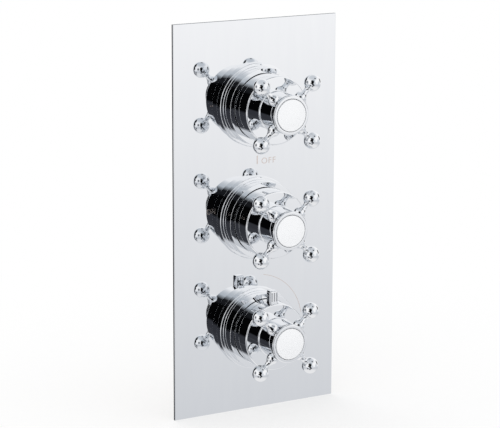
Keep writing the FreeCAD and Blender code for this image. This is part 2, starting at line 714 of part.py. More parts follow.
def duct_plug():
    """Hexagon plug that closes the drilled end of the duct."""
    body = new_body("duct_plug", ("0", "duct_depth", "-column_bottom"))
    sketch = new_sketch(body, "plug_head", "XY_Plane")
    outline(sketch, hexagon_corners(corner_reach("plug_flats")))
    extrude(body, sketch, "duct_radius / 2", reverse=True)
    sketch = new_sketch(body, "plug_thread", "XY_Plane")
    ring(sketch, "0", "0", "duct_radius - fit_gap")
    extrude(body, sketch, "duct_radius * 1.5")


# ---- unions and what they hold -----------------------------------------------------------
# Each is built along its body's Y axis, measured from the chamber's axis, and turned to its side.

TO_RIGHT = Rotation(Vector(0, 0, 1), -90)
TO_LEFT = Rotation(Vector(0, 0, 1), 90)
UPWARDS = Rotation(Vector(1, 0, 0), 90)
PORTS = (
    ("hot_inlet", ("0", "port_depth", "-handle_pitch"), TO_LEFT),
    ("cold_inlet", ("0", "port_depth", "-handle_pitch"), TO_RIGHT),
    ("side_outlet", ("0", "port_depth", "0"), TO_RIGHT),
    ("top_outlet", ("0", "port_depth", "handle_pitch"), UPWARDS),
)
UNION_START = "(port_reach + washer_thickness)"
UNION_END = "(port_reach + washer_thickness + union_length)"


def union(name, base, rotation):
    """Hexagon union: a spigot in the boss and an inside thread for the pipe."""
    body, core = turned(f"{name}_union", [
        ("union_waterway", "port_reach - union_spigot"),
        ("port_bore - fit_gap", "port_reach - union_spigot"),
        ("port_bore - fit_gap", UNION_START),
        ("union_flats / 2", UNION_START),
        ("union_flats / 2", UNION_END),
        ("union_thread", UNION_END),
        ("union_thread", f"{UNION_START} + union_floor"),
        ("union_waterway", f"{UNION_START} + union_floor"),
    ], base, rotation)
    sketch = new_sketch(body, f"{name}_hexagon", "XZ_Plane", f"-{UNION_START}")
    outline(sketch, hexagon_corners(corner_reach("union_flats")))
    ring(sketch, "0", "0", "(union_thread + union_flats / 2) / 2")
    extrude(body, sketch, "union_length", reverse=True)
    chamfer_hexagon(body, "union_flats", (UNION_START, "+"), (UNION_END, "-"))


def union_washers():
    """Fibre washers, one under each union."""
    washers = []
    for name, base, rotation in PORTS:
        body, washer = turned(f"{name}_washer", [
            ("port_bore + seat_gap", "port_reach"), ("port_radius - seat_gap", "port_reach"),
            ("port_radius - seat_gap", UNION_START), ("port_bore + seat_gap", UNION_START),
        ], base, rotation)
        parts.remove(body)
        washers.append(body)
    group(washers, "union_washers")


def group(members, label):
    """Like pieces that share one name."""
    compound = doc.addObject("Part::Compound", label)
    compound.Label = label
    compound.Links = members
    parts.append(compound)


def inlet_strainers():
    """Closed mesh thimbles that stand in the waterways of both inlet unions."""
    outer = "union_waterway - seat_gap"
    inner = "union_waterway - seat_gap - strainer_wall"
    start = "port_reach - union_spigot + seat_gap"
    thimbles = []
    for name, base, rotation in PORTS[:2]:
        body, thimble = turned(f"{name}_strainer", [
            ("0", start), (outer, start), (outer, f"{start} + strainer_length"),
            (inner, f"{start} + strainer_length"), (inner, f"{start} + strainer_wall"),
            ("0", f"{start} + strainer_wall"),
        ], base, rotation)
        parts.remove(body)
        thimbles.append(body)
    group(thimbles, "inlet_strainers")


def check_valve(side, base, rotation):
    """Cage with a seat and a spider, a disc on a stem, and its spring."""
    body, cage = turned(f"{side}_check_cage", [
        ("stem_radius + fit_gap", "check_back"),
        ("port_bore - fit_gap", "check_back"),
        ("port_bore - fit_gap", "check_front"),
        ("check_seat", "check_front"),
        ("check_seat", "check_front - check_lip"),
        ("check_room", "check_front - check_lip"),
        ("check_room", "check_back + check_web"),
        ("stem_radius + fit_gap", "check_back + check_web"),
    ], base, rotation)
    sketch = new_sketch(body, f"{side}_spider", "XZ_Plane", "-check_back")
    sector(sketch, "stem_radius * 2.4", "check_room - check_web / 2", *SPIDER_SECTOR)
    window = extrude(body, sketch, "check_web", cut=True)
    repeat_round(body, [window], "Y", 3)

    disc_face = "(check_front - check_lip - seat_gap)"
    turned(f"{side}_check_poppet", [
        ("0", "stem_end"), ("stem_radius", "stem_end"), ("stem_radius", f"{disc_face} - poppet_thickness"),
        ("poppet_radius", f"{disc_face} - poppet_thickness"), ("poppet_radius", disc_face), ("0", disc_face),
    ], base, rotation)
    wire = "stem_radius / 3"
    start = f"check_back + check_web + {wire}"
    coil(f"{side}_check_spring", "stem_radius * 2.2", wire, start,
         f"{disc_face} - poppet_thickness - {wire} - ({start})", 3, base, rotation)


# ---- cartridges --------------------------------------------------------------------------

RING_BACK = ahead("nose_front - 2")
RING_FRONT = ahead("nose_front - 2 + gland_ring + 2 * seat_gap")


def cartridge_shell(label, height, cavity_front):
    """Barrel with a hexagon and a nose, bored for its spindle, with a groove for the sealing ring."""
    groove = "spindle_bore + gland_ring + seat_gap"
    body, barrel = turned(label, [
        ("cavity_radius", "cartridge_end"),
        ("cartridge_radius", "cartridge_end"),
        ("cartridge_radius", "neck_front"),
        ("gland_flats / 2", "neck_front"),
        ("gland_flats / 2", "gland_front"),
        ("nose_radius", "gland_front"),
        ("nose_radius", ahead("nose_front")),
        ("spindle_bore", ahead("nose_front")),
        ("spindle_bore", RING_FRONT),
        (groove, RING_FRONT),
        (groove, RING_BACK),
        ("spindle_bore", RING_BACK),
        ("spindle_bore", cavity_front),
        ("cavity_radius", cavity_front),
    ], ("0", "0", height))
    sketch = new_sketch(body, f"{label}_hexagon", "XZ_Plane", "-gland_front")
    outline(sketch, hexagon_corners(corner_reach("gland_flats")))
    ring(sketch, "0", "0", "nose_radius + 1")
    extrude(body, sketch, "neck_front - gland_front", reverse=True)
    chamfer_hexagon(body, "gland_flats", ("gland_front", "+"))
    return body


def side_ports(body, name, depth, radius, count, fan=360, first=0):
    """Round ports through the barrel's wall, fanned round its axis."""
    sketch = new_sketch(body, name, "YZ_Plane", "cartridge_radius - 2 * cartridge_wall", first)
    ring(sketch, depth, "0", radius)
    port = extrude(body, sketch, "3 * cartridge_wall", cut=True, reverse=True)
    repeat_round(body, [port], "Y", count, fan)


def ported_disc(label, front, height):
    """Ceramic disc with two windows."""
    body = new_body(label, ("0", "0", height))
    sketch = new_sketch(body, f"{label}_outline", "XZ_Plane", f"-({front})")
    ring(sketch, "0", "0", "disc_radius")
    for angles in WINDOW_SECTORS:
        sector(sketch, "window_inner", "window_outer", *angles)
    extrude(body, sketch, "disc_thickness", reverse=True)
    return body


def flow_cartridge(place, height):
    """Quarter-turn ceramic cartridge: its barrel and the disc that turns in it."""
    body = cartridge_shell(f"{place}_cartridge_body", height, "foot_front - 1.5")
    side_ports(body, f"{place}_windows", "window_depth", "window_radius", 4)
    ported_disc(f"{place}_moving_disc", "disc_front", height)


def fixed_discs_and_seats():
    """Fixed ceramic discs and the rubber seats behind them, one pair in each flow cartridge."""
    discs = []
    seats = []
    for place, height in HANDLES[:2]:
        disc = ported_disc(f"{place}_fixed_disc", "disc_front + disc_thickness + seat_gap", height)
        seat, rubber = turned(f"{place}_seat", [
            ("seat_bore", "seat_front"), ("disc_radius", "seat_front"),
            ("disc_radius", "chamber_floor - seat_gap"), ("seat_bore", "chamber_floor - seat_gap"),
        ], ("0", "0", height))
        parts.remove(disc)
        parts.remove(seat)
        discs.append(disc)
        seats.append(seat)
    group(discs, "fixed_discs")
    group(seats, "seat_seals")


def gland_rings():
    body, rubber = square_ring("gland_rings", "(spindle_bore + gland_ring / 2 + seat_gap)", "(gland_ring / 2)",
                               f"({RING_BACK} + {RING_FRONT}) / 2", ("0", "0", "-handle_pitch"))
    repeat_along(body, [rubber], "Z", "2 * handle_pitch", 3)


def flow_spindle(place, height):
    """Spindle with a tapped tip for the handle's screw and a forked foot that turns the disc."""
    body, blank = turned(f"{place}_spindle", [
        ("screw_radius + fit_gap", ahead("spline_end")),
        ("spline_radius", ahead("spline_end")),
        ("spline_radius", ahead("core_back")),
        ("spindle_radius", ahead("core_back")),
        ("spindle_radius", "foot_front"),
        ("spindle_foot", "foot_front"),
        ("spindle_foot", "foot_end"),
        ("0", "foot_end"),
        ("0", ahead("screw_tip - 1")),
        ("screw_radius + fit_gap", ahead("screw_tip - 1")),
    ], ("0", "0", height))
    sketch = new_sketch(body, f"{place}_fork", "XZ_Plane", "-(foot_front + foot_flange)")
    for angles in WINDOW_SECTORS:
        sector(sketch, "window_inner", "spindle_foot + 1", *angles)
    extrude(body, sketch, "foot_end - foot_front - foot_flange", cut=True)


# ---- temperature control -----------------------------------------------------------------


def thermostat_body():
    """Barrel of the thermostat. A hexagon bore keeps the nut from turning, and the ports are
    fanned to the left for hot water and to the right for cold."""
    body = cartridge_shell("thermostat_body", "-handle_pitch", "nut_back + nut_room")
    sketch = new_sketch(body, "nut_way", "XZ_Plane", "-(nut_front - nut_room - 1)")
    outline(sketch, hexagon_corners("nut_corner + fit_gap"))
    extrude(body, sketch, "nut_back - nut_front + 2 * nut_room + 1", cut=True)
    side_ports(body, "cold_port", "cold_ports", "mix_port_radius", 3, PORT_FAN, -PORT_FAN / 2)
    side_ports(body, "hot_port", "hot_ports", "mix_port_radius", 3, PORT_FAN, 180 - PORT_FAN / 2)


def temperature_spindle():
    """Spindle whose coarse thread drives the nut in and out."""
    turned("temperature_spindle", [
        ("screw_radius + fit_gap", ahead("spline_end")),
        ("spline_radius", ahead("spline_end")),
        ("spline_radius", ahead("core_back")),
        ("spindle_radius", ahead("core_back")),
        ("spindle_radius", "nut_front - 1.9"),
        ("thread_radius", "nut_front - 1.9"),
        ("thread_radius", "thread_end"),
        ("0", "thread_end"),
        ("0", ahead("screw_tip - 1")),
        ("screw_radius + fit_gap", ahead("screw_tip - 1")),
    ], ("0", "0", "-handle_pitch"))


def drive_nut():
    """Hexagon nut, closed at its back, that pushes the wax element."""
    body = new_body("drive_nut", ("0", "0", "-handle_pitch"))
    sketch = new_sketch(body, "nut_outline", "XZ_Plane", "-nut_front")
    outline(sketch, hexagon_corners("nut_corner"))
    extrude(body, sketch, "nut_back - nut_front", reverse=True)
    sketch = new_sketch(body, "nut_bore", "XZ_Plane", "-nut_front")
    ring(sketch, "0", "0", "thread_radius + fit_gap")
    extrude(body, sketch, "nut_back - nut_front - nut_web", cut=True)


def wax_element():
    """Wax capsule with its push pin."""
    turned("wax_element", [
        ("0", "nut_back + seat_gap"), ("wax_pin", "nut_back + seat_gap"), ("wax_pin", "wax_shoulder"),
        ("wax_radius", "wax_shoulder"), ("wax_radius", "wax_back"), ("0", "wax_back"),
    ], ("0", "0", "-handle_pitch"))


def shuttle():
    """Sliding sleeve between the hot and the cold ports, on a web round the wax capsule."""
    outer = "cavity_radius - fit_gap"
    body, sleeve = turned("shuttle", [
        ("shuttle_bore", "shuttle_front"),
        (outer, "shuttle_front"),
        (outer, "shuttle_back"),
        ("shuttle_bore", "shuttle_back"),
        ("shuttle_bore", "shuttle_middle + shuttle_web / 2"),
        ("wax_radius + fit_gap", "shuttle_middle + shuttle_web / 2"),
        ("wax_radius + fit_gap", "shuttle_middle - shuttle_web / 2"),
        ("shuttle_bore", "shuttle_middle - shuttle_web / 2"),
    ], ("0", "0", "-handle_pitch"))
    sketch = new_sketch(body, "shuttle_window", "XZ_Plane", "-(shuttle_middle - shuttle_web / 2)")
    sector(sketch, "return_coil + return_wire + fit_gap", "shuttle_bore - 3 * seat_gap", *SPIDER_SECTOR)
    window = extrude(body, sketch, "shuttle_web", cut=True)
    repeat_round(body, [window], "Y", 3)


def temperature_stop_ring():
    """Fixed ring under the temperature drum. Its cut-away step stops the button's tail both ways."""
    seat = ahead("collar_height - collar_recess + seat_gap")
    body, blank = turned("temperature_stop_ring", [
        ("stop_inner", seat), ("skirt_radius", seat),
        ("skirt_radius", ahead("stop_front")), ("stop_inner", ahead("stop_front")),
    ], ("0", "0", "-handle_pitch"))
    sketch = new_sketch(body, "stop_sector", "XZ_Plane", f"-{ahead('stop_front')}")
    sector(sketch, "stop_inner - 1", "skirt_radius - skirt_wall", *STOP_SECTOR)
    extrude(body, sketch, "stop_front - tail_back + 1", cut=True)


def safety_button():
    """Sprung button at the drum's top: ribbed block, hidden shoulder and tail."""
    body = new_body("safety_button", ("0", ahead("button_height"), "-handle_pitch"))
    half_width = "(button_width / 2)"
    half_depth = "(button_depth / 2)"
    sketch = new_sketch(body, "button_block", "XY_Plane", "shoulder_inner")
    outline(sketch, box_corners(f"-{half_width}", f"-{half_depth}", half_width, half_depth))
    block = extrude(body, sketch, "button_top - shoulder_inner")
    drum = number("skirt_radius")
    names = edges_between(block.Shape, lambda spot: spot.z > drum)
    uprights = [name for name in edges_between(block.Shape, lambda spot: True)
                if block.Shape.getElement(name).BoundBox.ZLength > 1]
    soften(body, block, names + uprights, "button_round")
    sketch = new_sketch(body, "button_shoulders", "XY_Plane", "shoulder_inner")
    outline(sketch, box_corners("-button_shoulder / 2", f"-{half_depth}", "button_shoulder / 2", half_depth))
    extrude(body, sketch, "shoulder_outer - shoulder_inner")
    sketch = new_sketch(body, "button_tail", "XY_Plane", "shoulder_inner")
    outline(sketch, box_corners(f"-{half_width}", "0", half_width, "button_height - tail_back"))
    extrude(body, sketch, "shoulder_outer - shoulder_inner")

    # grooves that leave ribs on the front, the back and both sides
    for face, plane, offset, reverse, centres in (
            ("front", "XZ_Plane", half_depth, False, ("-rib_spacing", "0", "rib_spacing")),
            ("back", "XZ_Plane", f"-{half_depth}", True, ("-rib_spacing", "0", "rib_spacing")),
            ("right", "YZ_Plane", half_width, False, ("-rib_spacing / 2", "rib_spacing / 2")),
            ("left", "YZ_Plane", f"-{half_width}", True, ("-rib_spacing / 2", "rib_spacing / 2"))):
        sketch = new_sketch(body, f"ribs_{face}", plane, offset)
        for centre in centres:
            outline(sketch, box_corners(f"{centre} - rib_groove / 2", "skirt_radius + rib_margin",
                                        f"{centre} + rib_groove / 2", "button_top - rib_margin"))
        extrude(body, sketch, "rib_depth", cut=True, reverse=reverse)


# ---- handles -----------------------------------------------------------------------------


def handle_body(place, height, back):
    """Drum, hub and core in one turned piece, drilled and spot-faced for four spokes."""
    bezel_bore = "bezel_neck + fit_gap"
    body, blank = turned(f"{place}_handle_body", [
        ("skirt_radius - skirt_wall", ahead(back)),
        ("skirt_radius", ahead(back)),
        ("skirt_radius", ahead("skirt_front")),
        ("hub_radius", ahead("skirt_front")),
        ("hub_radius", ahead("hub_front")),
        (bezel_bore, ahead("hub_front")),
        (bezel_bore, ahead("cap_seat")),
        ("access_radius", ahead("cap_seat")),
        ("access_radius", ahead("web_front")),
        ("screw_radius + 0.2", ahead("web_front")),
        ("screw_radius + 0.2", ahead("web_back")),
        ("adaptor_radius + fit_gap", ahead("web_back")),
        ("adaptor_radius + fit_gap", ahead("core_back")),
        ("core_radius", ahead("core_back")),
        ("core_radius", ahead("skirt_front - skirt_cap")),
        ("skirt_radius - skirt_wall", ahead("skirt_front - skirt_cap")),
    ], ("0", "0", height))
    rounded = soften_rings(body, blank, [("skirt_radius", ahead("skirt_front"))],
                           "skirt_round", "Fillet")
    soften_rings(body, rounded, [("hub_radius", ahead("skirt_front"))], "hub_cove", "Fillet")
    drilled = []
    for name, start, radius in (("stud_hole", "spoke_root - 0.3", "stud_radius + fit_gap"),
                                ("spot_face", "boss_seat", "boss_radius")):
        sketch = new_sketch(body, f"{place}_{name}", "YZ_Plane", start, SPOKE_ANGLE)
        ring(sketch, ahead("spoke_height"), "0", radius)
        drilled.append(extrude(body, sketch, "boss_reach - spoke_root", cut=True, reverse=True))
    repeat_round(body, drilled, "Y", 4)
    return body


def button_window(body):
    """Opening in the temperature drum for the safety button, with room for its shoulder."""
    sketch = new_sketch(body, "window_outline", "XY_Plane", "core_radius")
    half_width = "(button_width / 2 + button_gap)"
    back = ahead("button_height - button_depth / 2 - button_gap")
    front = ahead("button_height + button_depth / 2 + button_gap")
    outline(sketch, box_corners(f"-{half_width}", front, half_width, back))
    extrude(body, sketch, "skirt_radius", cut=True, reverse=True)


def spokes(place, height):
    """Four turned spokes: stud, bulb, hollowed waist and ball."""
    body = new_body(f"{place}_spokes", ("0", ahead("spoke_height"), height),
                    Rotation(Vector(0, 1, 0), SPOKE_ANGLE))
    sketch = new_sketch(body, f"{place}_spoke_profile", "XY_Plane")
    waist_x, waist_y = number("waist_reach"), number("waist_radius")
    ends = {}
    arcs = {}
    for name, centre_x, radius in (("boss", number("boss_reach"), number("boss_radius")),
                                   ("ball", number("ball_reach"), number("ball_radius"))):
        run = waist_x - centre_x
        hollow = (run ** 2 + waist_y ** 2 - radius ** 2) / (2 * (radius - waist_y))
        hollow_y = waist_y + hollow
        touch = math.atan2(hollow_y, run)
        back = math.atan2(-hollow_y, -run) % (2 * math.pi)
        low = 1.5 * math.pi
        if name == "boss":
            seat = math.acos((number("boss_seat") - centre_x) / radius)
            body_angles, hollow_angles = (touch, seat), (back, low)
        else:
            body_angles, hollow_angles = (0, touch), (low, back)
        circle = Part.Circle(Vector(centre_x, 0, 0), Vector(0, 0, 1), radius)
        arcs[name] = sketch.addGeometry(Part.ArcOfCircle(circle, *body_angles))
        circle = Part.Circle(Vector(waist_x, hollow_y, 0), Vector(0, 0, 1), hollow)
        arcs[f"{name}_hollow"] = sketch.addGeometry(Part.ArcOfCircle(circle, *hollow_angles))
        ends[name] = (1, 1) if name == "boss" else (2, 2)
        bind(sketch, "DistanceY", (arcs[name], 3), "0")
        bind(sketch, "DistanceX", (arcs[name], 3), f"{name}_reach")
        bind(sketch, "Radius", (arcs[name],), f"{name}_radius")
        bind(sketch, "DistanceX", (arcs[f"{name}_hollow"], 3), "waist_reach")
    boss, ball = arcs["boss"], arcs["ball"]
    boss_hollow, ball_hollow = arcs["boss_hollow"], arcs["ball_hollow"]
    place_point(sketch, (boss_hollow, 2), "waist_reach", "waist_radius")
    sketch.addConstraint([
        Sketcher.Constraint("Coincident", ball_hollow, 1, boss_hollow, 2),
        Sketcher.Constraint("Tangent", boss, 1, boss_hollow, 1),
        Sketcher.Constraint("Tangent", ball, 2, ball_hollow, 2),
    ])
    bind(sketch, "DistanceX", (boss, 2), "boss_seat")
    bind(sketch, "DistanceY", (ball, 1), "0")
    tip = Vector(number("ball_reach + ball_radius"), 0, 0)
    root = Vector(number("spoke_root"), 0, 0)
    shank = Vector(0, number("stud_radius"), 0)
    foot = Vector(number("boss_seat"), 0, 0)
    seat_y = math.sqrt(number("boss_radius") ** 2 - number("boss_reach - boss_seat") ** 2)
    corners = [tip, root, root + shank, foot + shank, foot + Vector(0, seat_y, 0)]
    lines = [sketch.addGeometry(Part.LineSegment(a, b)) for a, b in zip(corners, corners[1:])]
    for first, second in zip(lines, lines[1:]):
        sketch.addConstraint(Sketcher.Constraint("Coincident", first, 2, second, 1))
    sketch.addConstraint([
        Sketcher.Constraint("Coincident", lines[0], 1, ball, 1),
        Sketcher.Constraint("Coincident", lines[3], 2, boss, 2),
    ])
    place_point(sketch, (lines[1], 1), "spoke_root", "0")
    place_point(sketch, (lines[2], 1), "spoke_root", "stud_radius")
    place_point(sketch, (lines[3], 1), "boss_seat", "stud_radius")
    spoke = revolve(body, sketch, "H_Axis")
    repeat_round(body, [spoke], "Y", 4)


def cap_and_bezel(place, height):
    """White ceramic cap and the threaded ring that holds its flange."""
    flange_front = "(cap_seat + seat_gap + cap_flange_thickness)"
    turned(f"{place}_cap", [
        ("0", ahead("cap_seat + seat_gap")),
        ("cap_flange", ahead("cap_seat + seat_gap")),
        ("cap_flange", ahead(flange_front)),
        ("cap_radius", ahead(flange_front)),
        ("cap_radius", ahead("cap_edge"), "dome"),
        ("0", ahead("cap_crown")),
    ], ("0", "0", height))
    body, blank = turned(f"{place}_bezel", [
        ("cap_flange + seat_gap", ahead("cap_seat + seat_gap")),
        ("bezel_neck", ahead("cap_seat + seat_gap")),
        ("bezel_neck", ahead("bezel_back")),
        ("bezel_radius", ahead("bezel_back")),
        ("bezel_radius", ahead("bezel_front")),
        ("cap_radius + 0.15", ahead("bezel_front")),
        ("cap_radius + 0.15", ahead(f"{flange_front} + seat_gap")),
        ("cap_flange + seat_gap", ahead(f"{flange_front} + seat_gap")),
    ], ("0", "0", height))
    soften_rings(body, blank, [("bezel_radius", ahead("bezel_front"))], "bezel_round", "Fillet")


def handle_screw(place, height):
    """Socket screw that clamps the handle on its spindle."""
    body, blank = turned(f"{place}_handle_screw", [
        ("0", ahead("screw_tip")), ("screw_radius", ahead("screw_tip")), ("screw_radius", ahead("web_front")),
        ("screw_head", ahead("web_front")), ("screw_head", ahead("web_front + screw_head_height")),
        ("0", ahead("web_front + screw_head_height")),
    ], ("0", "0", height))
    sketch = new_sketch(body, f"{place}_socket", "XZ_Plane", f"-{ahead('web_front + screw_head_height')}")
    outline(sketch, hexagon_corners(corner_reach("screw_socket")))
    extrude(body, sketch, "screw_head_height * 0.7", cut=True)


def spline_adaptor(place, height):
    """Splined bush between the spindle and the handle's core."""
    turned(f"{place}_spline_adaptor", [
        ("spline_radius + fit_gap", ahead("core_back + 0.3")), ("adaptor_radius", ahead("core_back + 0.3")),
        ("adaptor_radius", ahead("web_back - seat_gap")),
        ("spline_radius + fit_gap", ahead("web_back - seat_gap")),
    ], ("0", "0", height))


def handle(place, height):
    body = handle_body(place, height, "drum_split" if place == "bottom" else "skirt_back")
    if place == "bottom":
        button_window(body)
    spokes(place, height)
    cap_and_bezel(place, height)
    handle_screw(place, height)
    spline_adaptor(place, height)


# ---- assembly ----------------------------------------------------------------------------

front_plate()
plate_seal()
extension_sleeves()
collar_rings()
valve_body()
duct_plug()
for name, base, rotation in PORTS:
    union(name, base, rotation)
union_washers()
inlet_strainers()
check_valve("hot", *PORTS[0][1:])
check_valve("cold", *PORTS[1][1:])
for place, height in HANDLES:
    collar(place, height)
    handle(place, height)
for place, height in HANDLES[:2]:
    flow_cartridge(place, height)
    flow_spindle(place, height)
fixed_discs_and_seats()
gland_rings()
thermostat_body()
temperature_spindle()
drive_nut()
wax_element()
shuttle()
SPRING_SEAT = "(shuttle_middle + shuttle_web / 2 + seat_gap)"
coil("return_spring", "return_coil", "return_wire", f"{SPRING_SEAT} + return_wire",
     f"chamber_floor - {SPRING_SEAT} - 2 * return_wire - seat_gap", 4, ("0", "0", "-handle_pitch"))
temperature_stop_ring()
safety_button()
coil("button_spring", "button_coil", "button_wire", "core_radius + button_wire + seat_gap",
     "shoulder_inner - core_radius - 2 * (button_wire + seat_gap)", 6,
     ("0", ahead("button_height"), "-handle_pitch"), UPWARDS)
doc.recompute()

# ---- checks and files --------------------------------------------------------------------

faults = [item.Name for item in doc.Objects if {"Invalid", "Error"} & set(item.State)]
faults += [part.Label for part in parts if part.Shape.isNull() or not part.Shape.isValid()]
if faults:
    raise RuntimeError(f"faulty: {sorted(set(faults))}")
os.makedirs("parts", exist_ok=True)
for part in parts:
    part.Shape.exportStep(f"parts/{part.Label}.step")
    box = part.Shape.BoundBox
    print(f"{part.Label}: {len(part.Shape.Solids)} solids, {part.Shape.Volume:.0f} mm3, "
          f"{box.XLength:.1f} x {box.YLength:.1f} x {box.ZLength:.1f}")
print(len(parts), "nodes")
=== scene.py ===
import math

import bmesh
import bpy
from mathutils import Matrix, Vector


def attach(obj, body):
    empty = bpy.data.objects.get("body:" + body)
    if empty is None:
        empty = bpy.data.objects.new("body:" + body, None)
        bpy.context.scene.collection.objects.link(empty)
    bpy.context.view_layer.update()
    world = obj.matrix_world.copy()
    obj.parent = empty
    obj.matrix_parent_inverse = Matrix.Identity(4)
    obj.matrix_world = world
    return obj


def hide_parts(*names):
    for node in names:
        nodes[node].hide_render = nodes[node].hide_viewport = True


# A concealed thermostatic shower valve: three cross handles on one tall chrome plate, with the
# brass casting, unions and cartridges behind it. Sizes are in millimetres and turned to metres
# where a mesh is made. +X is to the right, +Z is up, -Y points to the user.

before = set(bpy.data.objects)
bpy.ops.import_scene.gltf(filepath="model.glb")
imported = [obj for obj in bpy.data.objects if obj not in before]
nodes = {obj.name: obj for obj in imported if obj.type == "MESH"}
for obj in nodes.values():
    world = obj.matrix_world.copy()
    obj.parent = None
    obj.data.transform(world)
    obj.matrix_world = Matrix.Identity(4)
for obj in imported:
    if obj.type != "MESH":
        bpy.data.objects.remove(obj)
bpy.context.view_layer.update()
scene = bpy.context.scene
MM = 0.001


# ---- Studio --------------------------------------------------------------------------------
# A white sweep under soft light. What polished metal mirrors is painted in the world: a pale
# tent that greys below the horizon, with the dark lens hood, stand and card near the camera.


def linear(colour):
    """An sRGB hex colour as linear RGBA."""
    channels = [int(colour[start:start + 2], 16) / 255 for start in (1, 3, 5)]
    return [c / 12.92 if c <= 0.04045 else ((c + 0.055) / 1.055) ** 2.4 for c in channels] + [1]


def add(tree, kind, links=None, **settings):
    """Adds one shader node with its settings. Each link is a socket to join or a value to set."""
    node = tree.nodes.new("ShaderNode" + kind)
    for name, value in settings.items():
        setattr(node, name, value)
    for key, source in (links or {}).items():
        if isinstance(source, bpy.types.NodeSocket):
            tree.links.new(source, node.inputs[key])
        else:
            node.inputs[key].default_value = source
    return node


def new_material(name):
    """An empty node material and its tree."""
    material = bpy.data.materials.new(name)
    material.use_nodes = True
    material.node_tree.nodes.clear()
    return material, material.node_tree


def towards(azimuth, elevation):
    """Unit vector from the object: azimuth from the user's side towards the right, then up."""
    a, e = math.radians(azimuth), math.radians(elevation)
    return Vector((math.sin(a) * math.cos(e), -math.cos(a) * math.cos(e), math.sin(e)))


# the camera stands at the user's upper left, 1.6 m away; its lens is known in picture widths
camera_place = Vector((-763.4, -1351.7, 358.4)) * MM
yaw, pitch, roll = math.radians(29.36), math.radians(12.94), math.radians(0.15)
lens_in_widths = 4.2224
forward = Vector((math.sin(yaw) * math.cos(pitch), math.cos(yaw) * math.cos(pitch), -math.sin(pitch)))
right = Vector((math.cos(yaw), -math.sin(yaw), 0))
upward = right.cross(forward)
lens = bpy.data.cameras.new("studio_camera")
lens.sensor_width = 36
lens.lens = lens_in_widths * lens.sensor_width
camera = bpy.data.objects.new("studio_camera", lens)
turn = Matrix((right, upward, -forward)).transposed() @ Matrix.Rotation(roll, 3, "Z")
camera.matrix_world = Matrix.Translation(camera_place) @ turn.to_4x4()
scene.collection.objects.link(camera)
scene.camera = camera
scene.view_settings.view_transform = "Standard"

world = bpy.data.worlds.new("studio")
world.use_nodes = True
scene.world = world
sky = world.node_tree
sky.nodes.clear()
direction = add(sky, "TexCoord").outputs["Generated"]
height = add(sky, "SeparateXYZ", {0: direction}).outputs["Z"]
# pale tent: white from just under the horizon up, greyer below, pale again at the floor and a
# little grey overhead
below = add(sky, "MapRange", {"Value": height, "From Min": -0.36, "From Max": -0.12}).outputs[0]
under = add(sky, "MapRange", {"Value": height, "From Min": -0.85, "From Max": -0.4},
            interpolation_type="SMOOTHSTEP").outputs[0]
above = add(sky, "MapRange", {"Value": height, "From Min": 0.5, "From Max": 0.95},
            interpolation_type="SMOOTHSTEP").outputs[0]
dusk = add(sky, "Mix", {0: under, 6: linear("#EFEEEE"), 7: linear("#CBCDD1")}, data_type="RGBA").outputs[2]
tent_colour = add(sky, "Mix", {0: below, 6: dusk, 7: linear("#FFFEFE")}, data_type="RGBA").outputs[2]
tent_colour = add(sky, "Mix", {0: above, 6: tent_colour, 7: linear("#CDD1D6")}, data_type="RGBA").outputs[2]
# round cards that the metal mirrors: azimuth, elevation, radius and soft edge in degrees, colour.
# The dark ones stand round the camera, the pale ones tone the plate for other sides.
for azimuth, elevation, radius, soft, colour in (
        (-10, 38, 12, 11.0, "#B4BBC2"),
        (0, 0, 14, 9.0, "#D3D7DC"),
        (62, -5, 14, 9.0, "#CDD1D6"),
        (-108, 8, 13, 8.0, "#5B6067"),
        (98, 8, 13, 5.0, "#1E1F22"),
        (-150, -13, 13, 6.0, "#2C2E31"),
        (150, 13, 12, 6.0, "#4E5155"),
        (35, 58, 9, 4.0, "#4A4D52"),
        (-62, -32, 9, 3.0, "#2E2F33"),
        (-43, 30, 10, 3.0, "#1B1C1F"),
        (-49, 3, 9, 2.0, "#0A0A0B"),
        (-30, -42, 9, 4.0, "#55575C"),
        (-14, -25, 11, 3.0, "#3C3D42"),
        (-27, -12, 13, 2.5, "#35363B"),
        (-30, 36, 8, 4.0, "#2A2C30"),
        (-22, 20, 15, 4.0, "#1B1C1F"),
        (-31, 8, 17, 2.0, "#050506"),
):
    nearness = add(sky, "VectorMath", {0: direction, 1: towards(azimuth, elevation)},
                   operation="DOT_PRODUCT").outputs["Value"]
    cover = add(sky, "MapRange", {"Value": nearness,
                                  "From Min": math.cos(math.radians(radius + soft)),
                                  "From Max": math.cos(math.radians(radius - soft))}).outputs[0]
    tent_colour = add(sky, "Mix", {0: cover, 6: tent_colour, 7: linear(colour)},
                      data_type="RGBA").outputs[2]
ray = add(sky, "LightPath").outputs
# the tent is there for mirrors only, so lamp rays aren't aimed at it
world.cycles.sampling_method = "NONE"
tent = add(sky, "Background", {"Color": tent_colour, "Strength": 1.06}).outputs[0]
lighting = add(sky, "Background", {"Color": linear("#FFFFFF"), "Strength": 0.84}).outputs[0]
backdrop = add(sky, "Background", {"Color": linear("#FFFFFF"), "Strength": 1.0}).outputs[0]
shown = add(sky, "MixShader", {0: ray["Is Diffuse Ray"], 1: tent, 2: lighting}).outputs[0]
shown = add(sky, "MixShader", {0: ray["Is Camera Ray"], 1: shown, 2: backdrop}).outputs[0]
add(sky, "OutputWorld", {"Surface": shown})

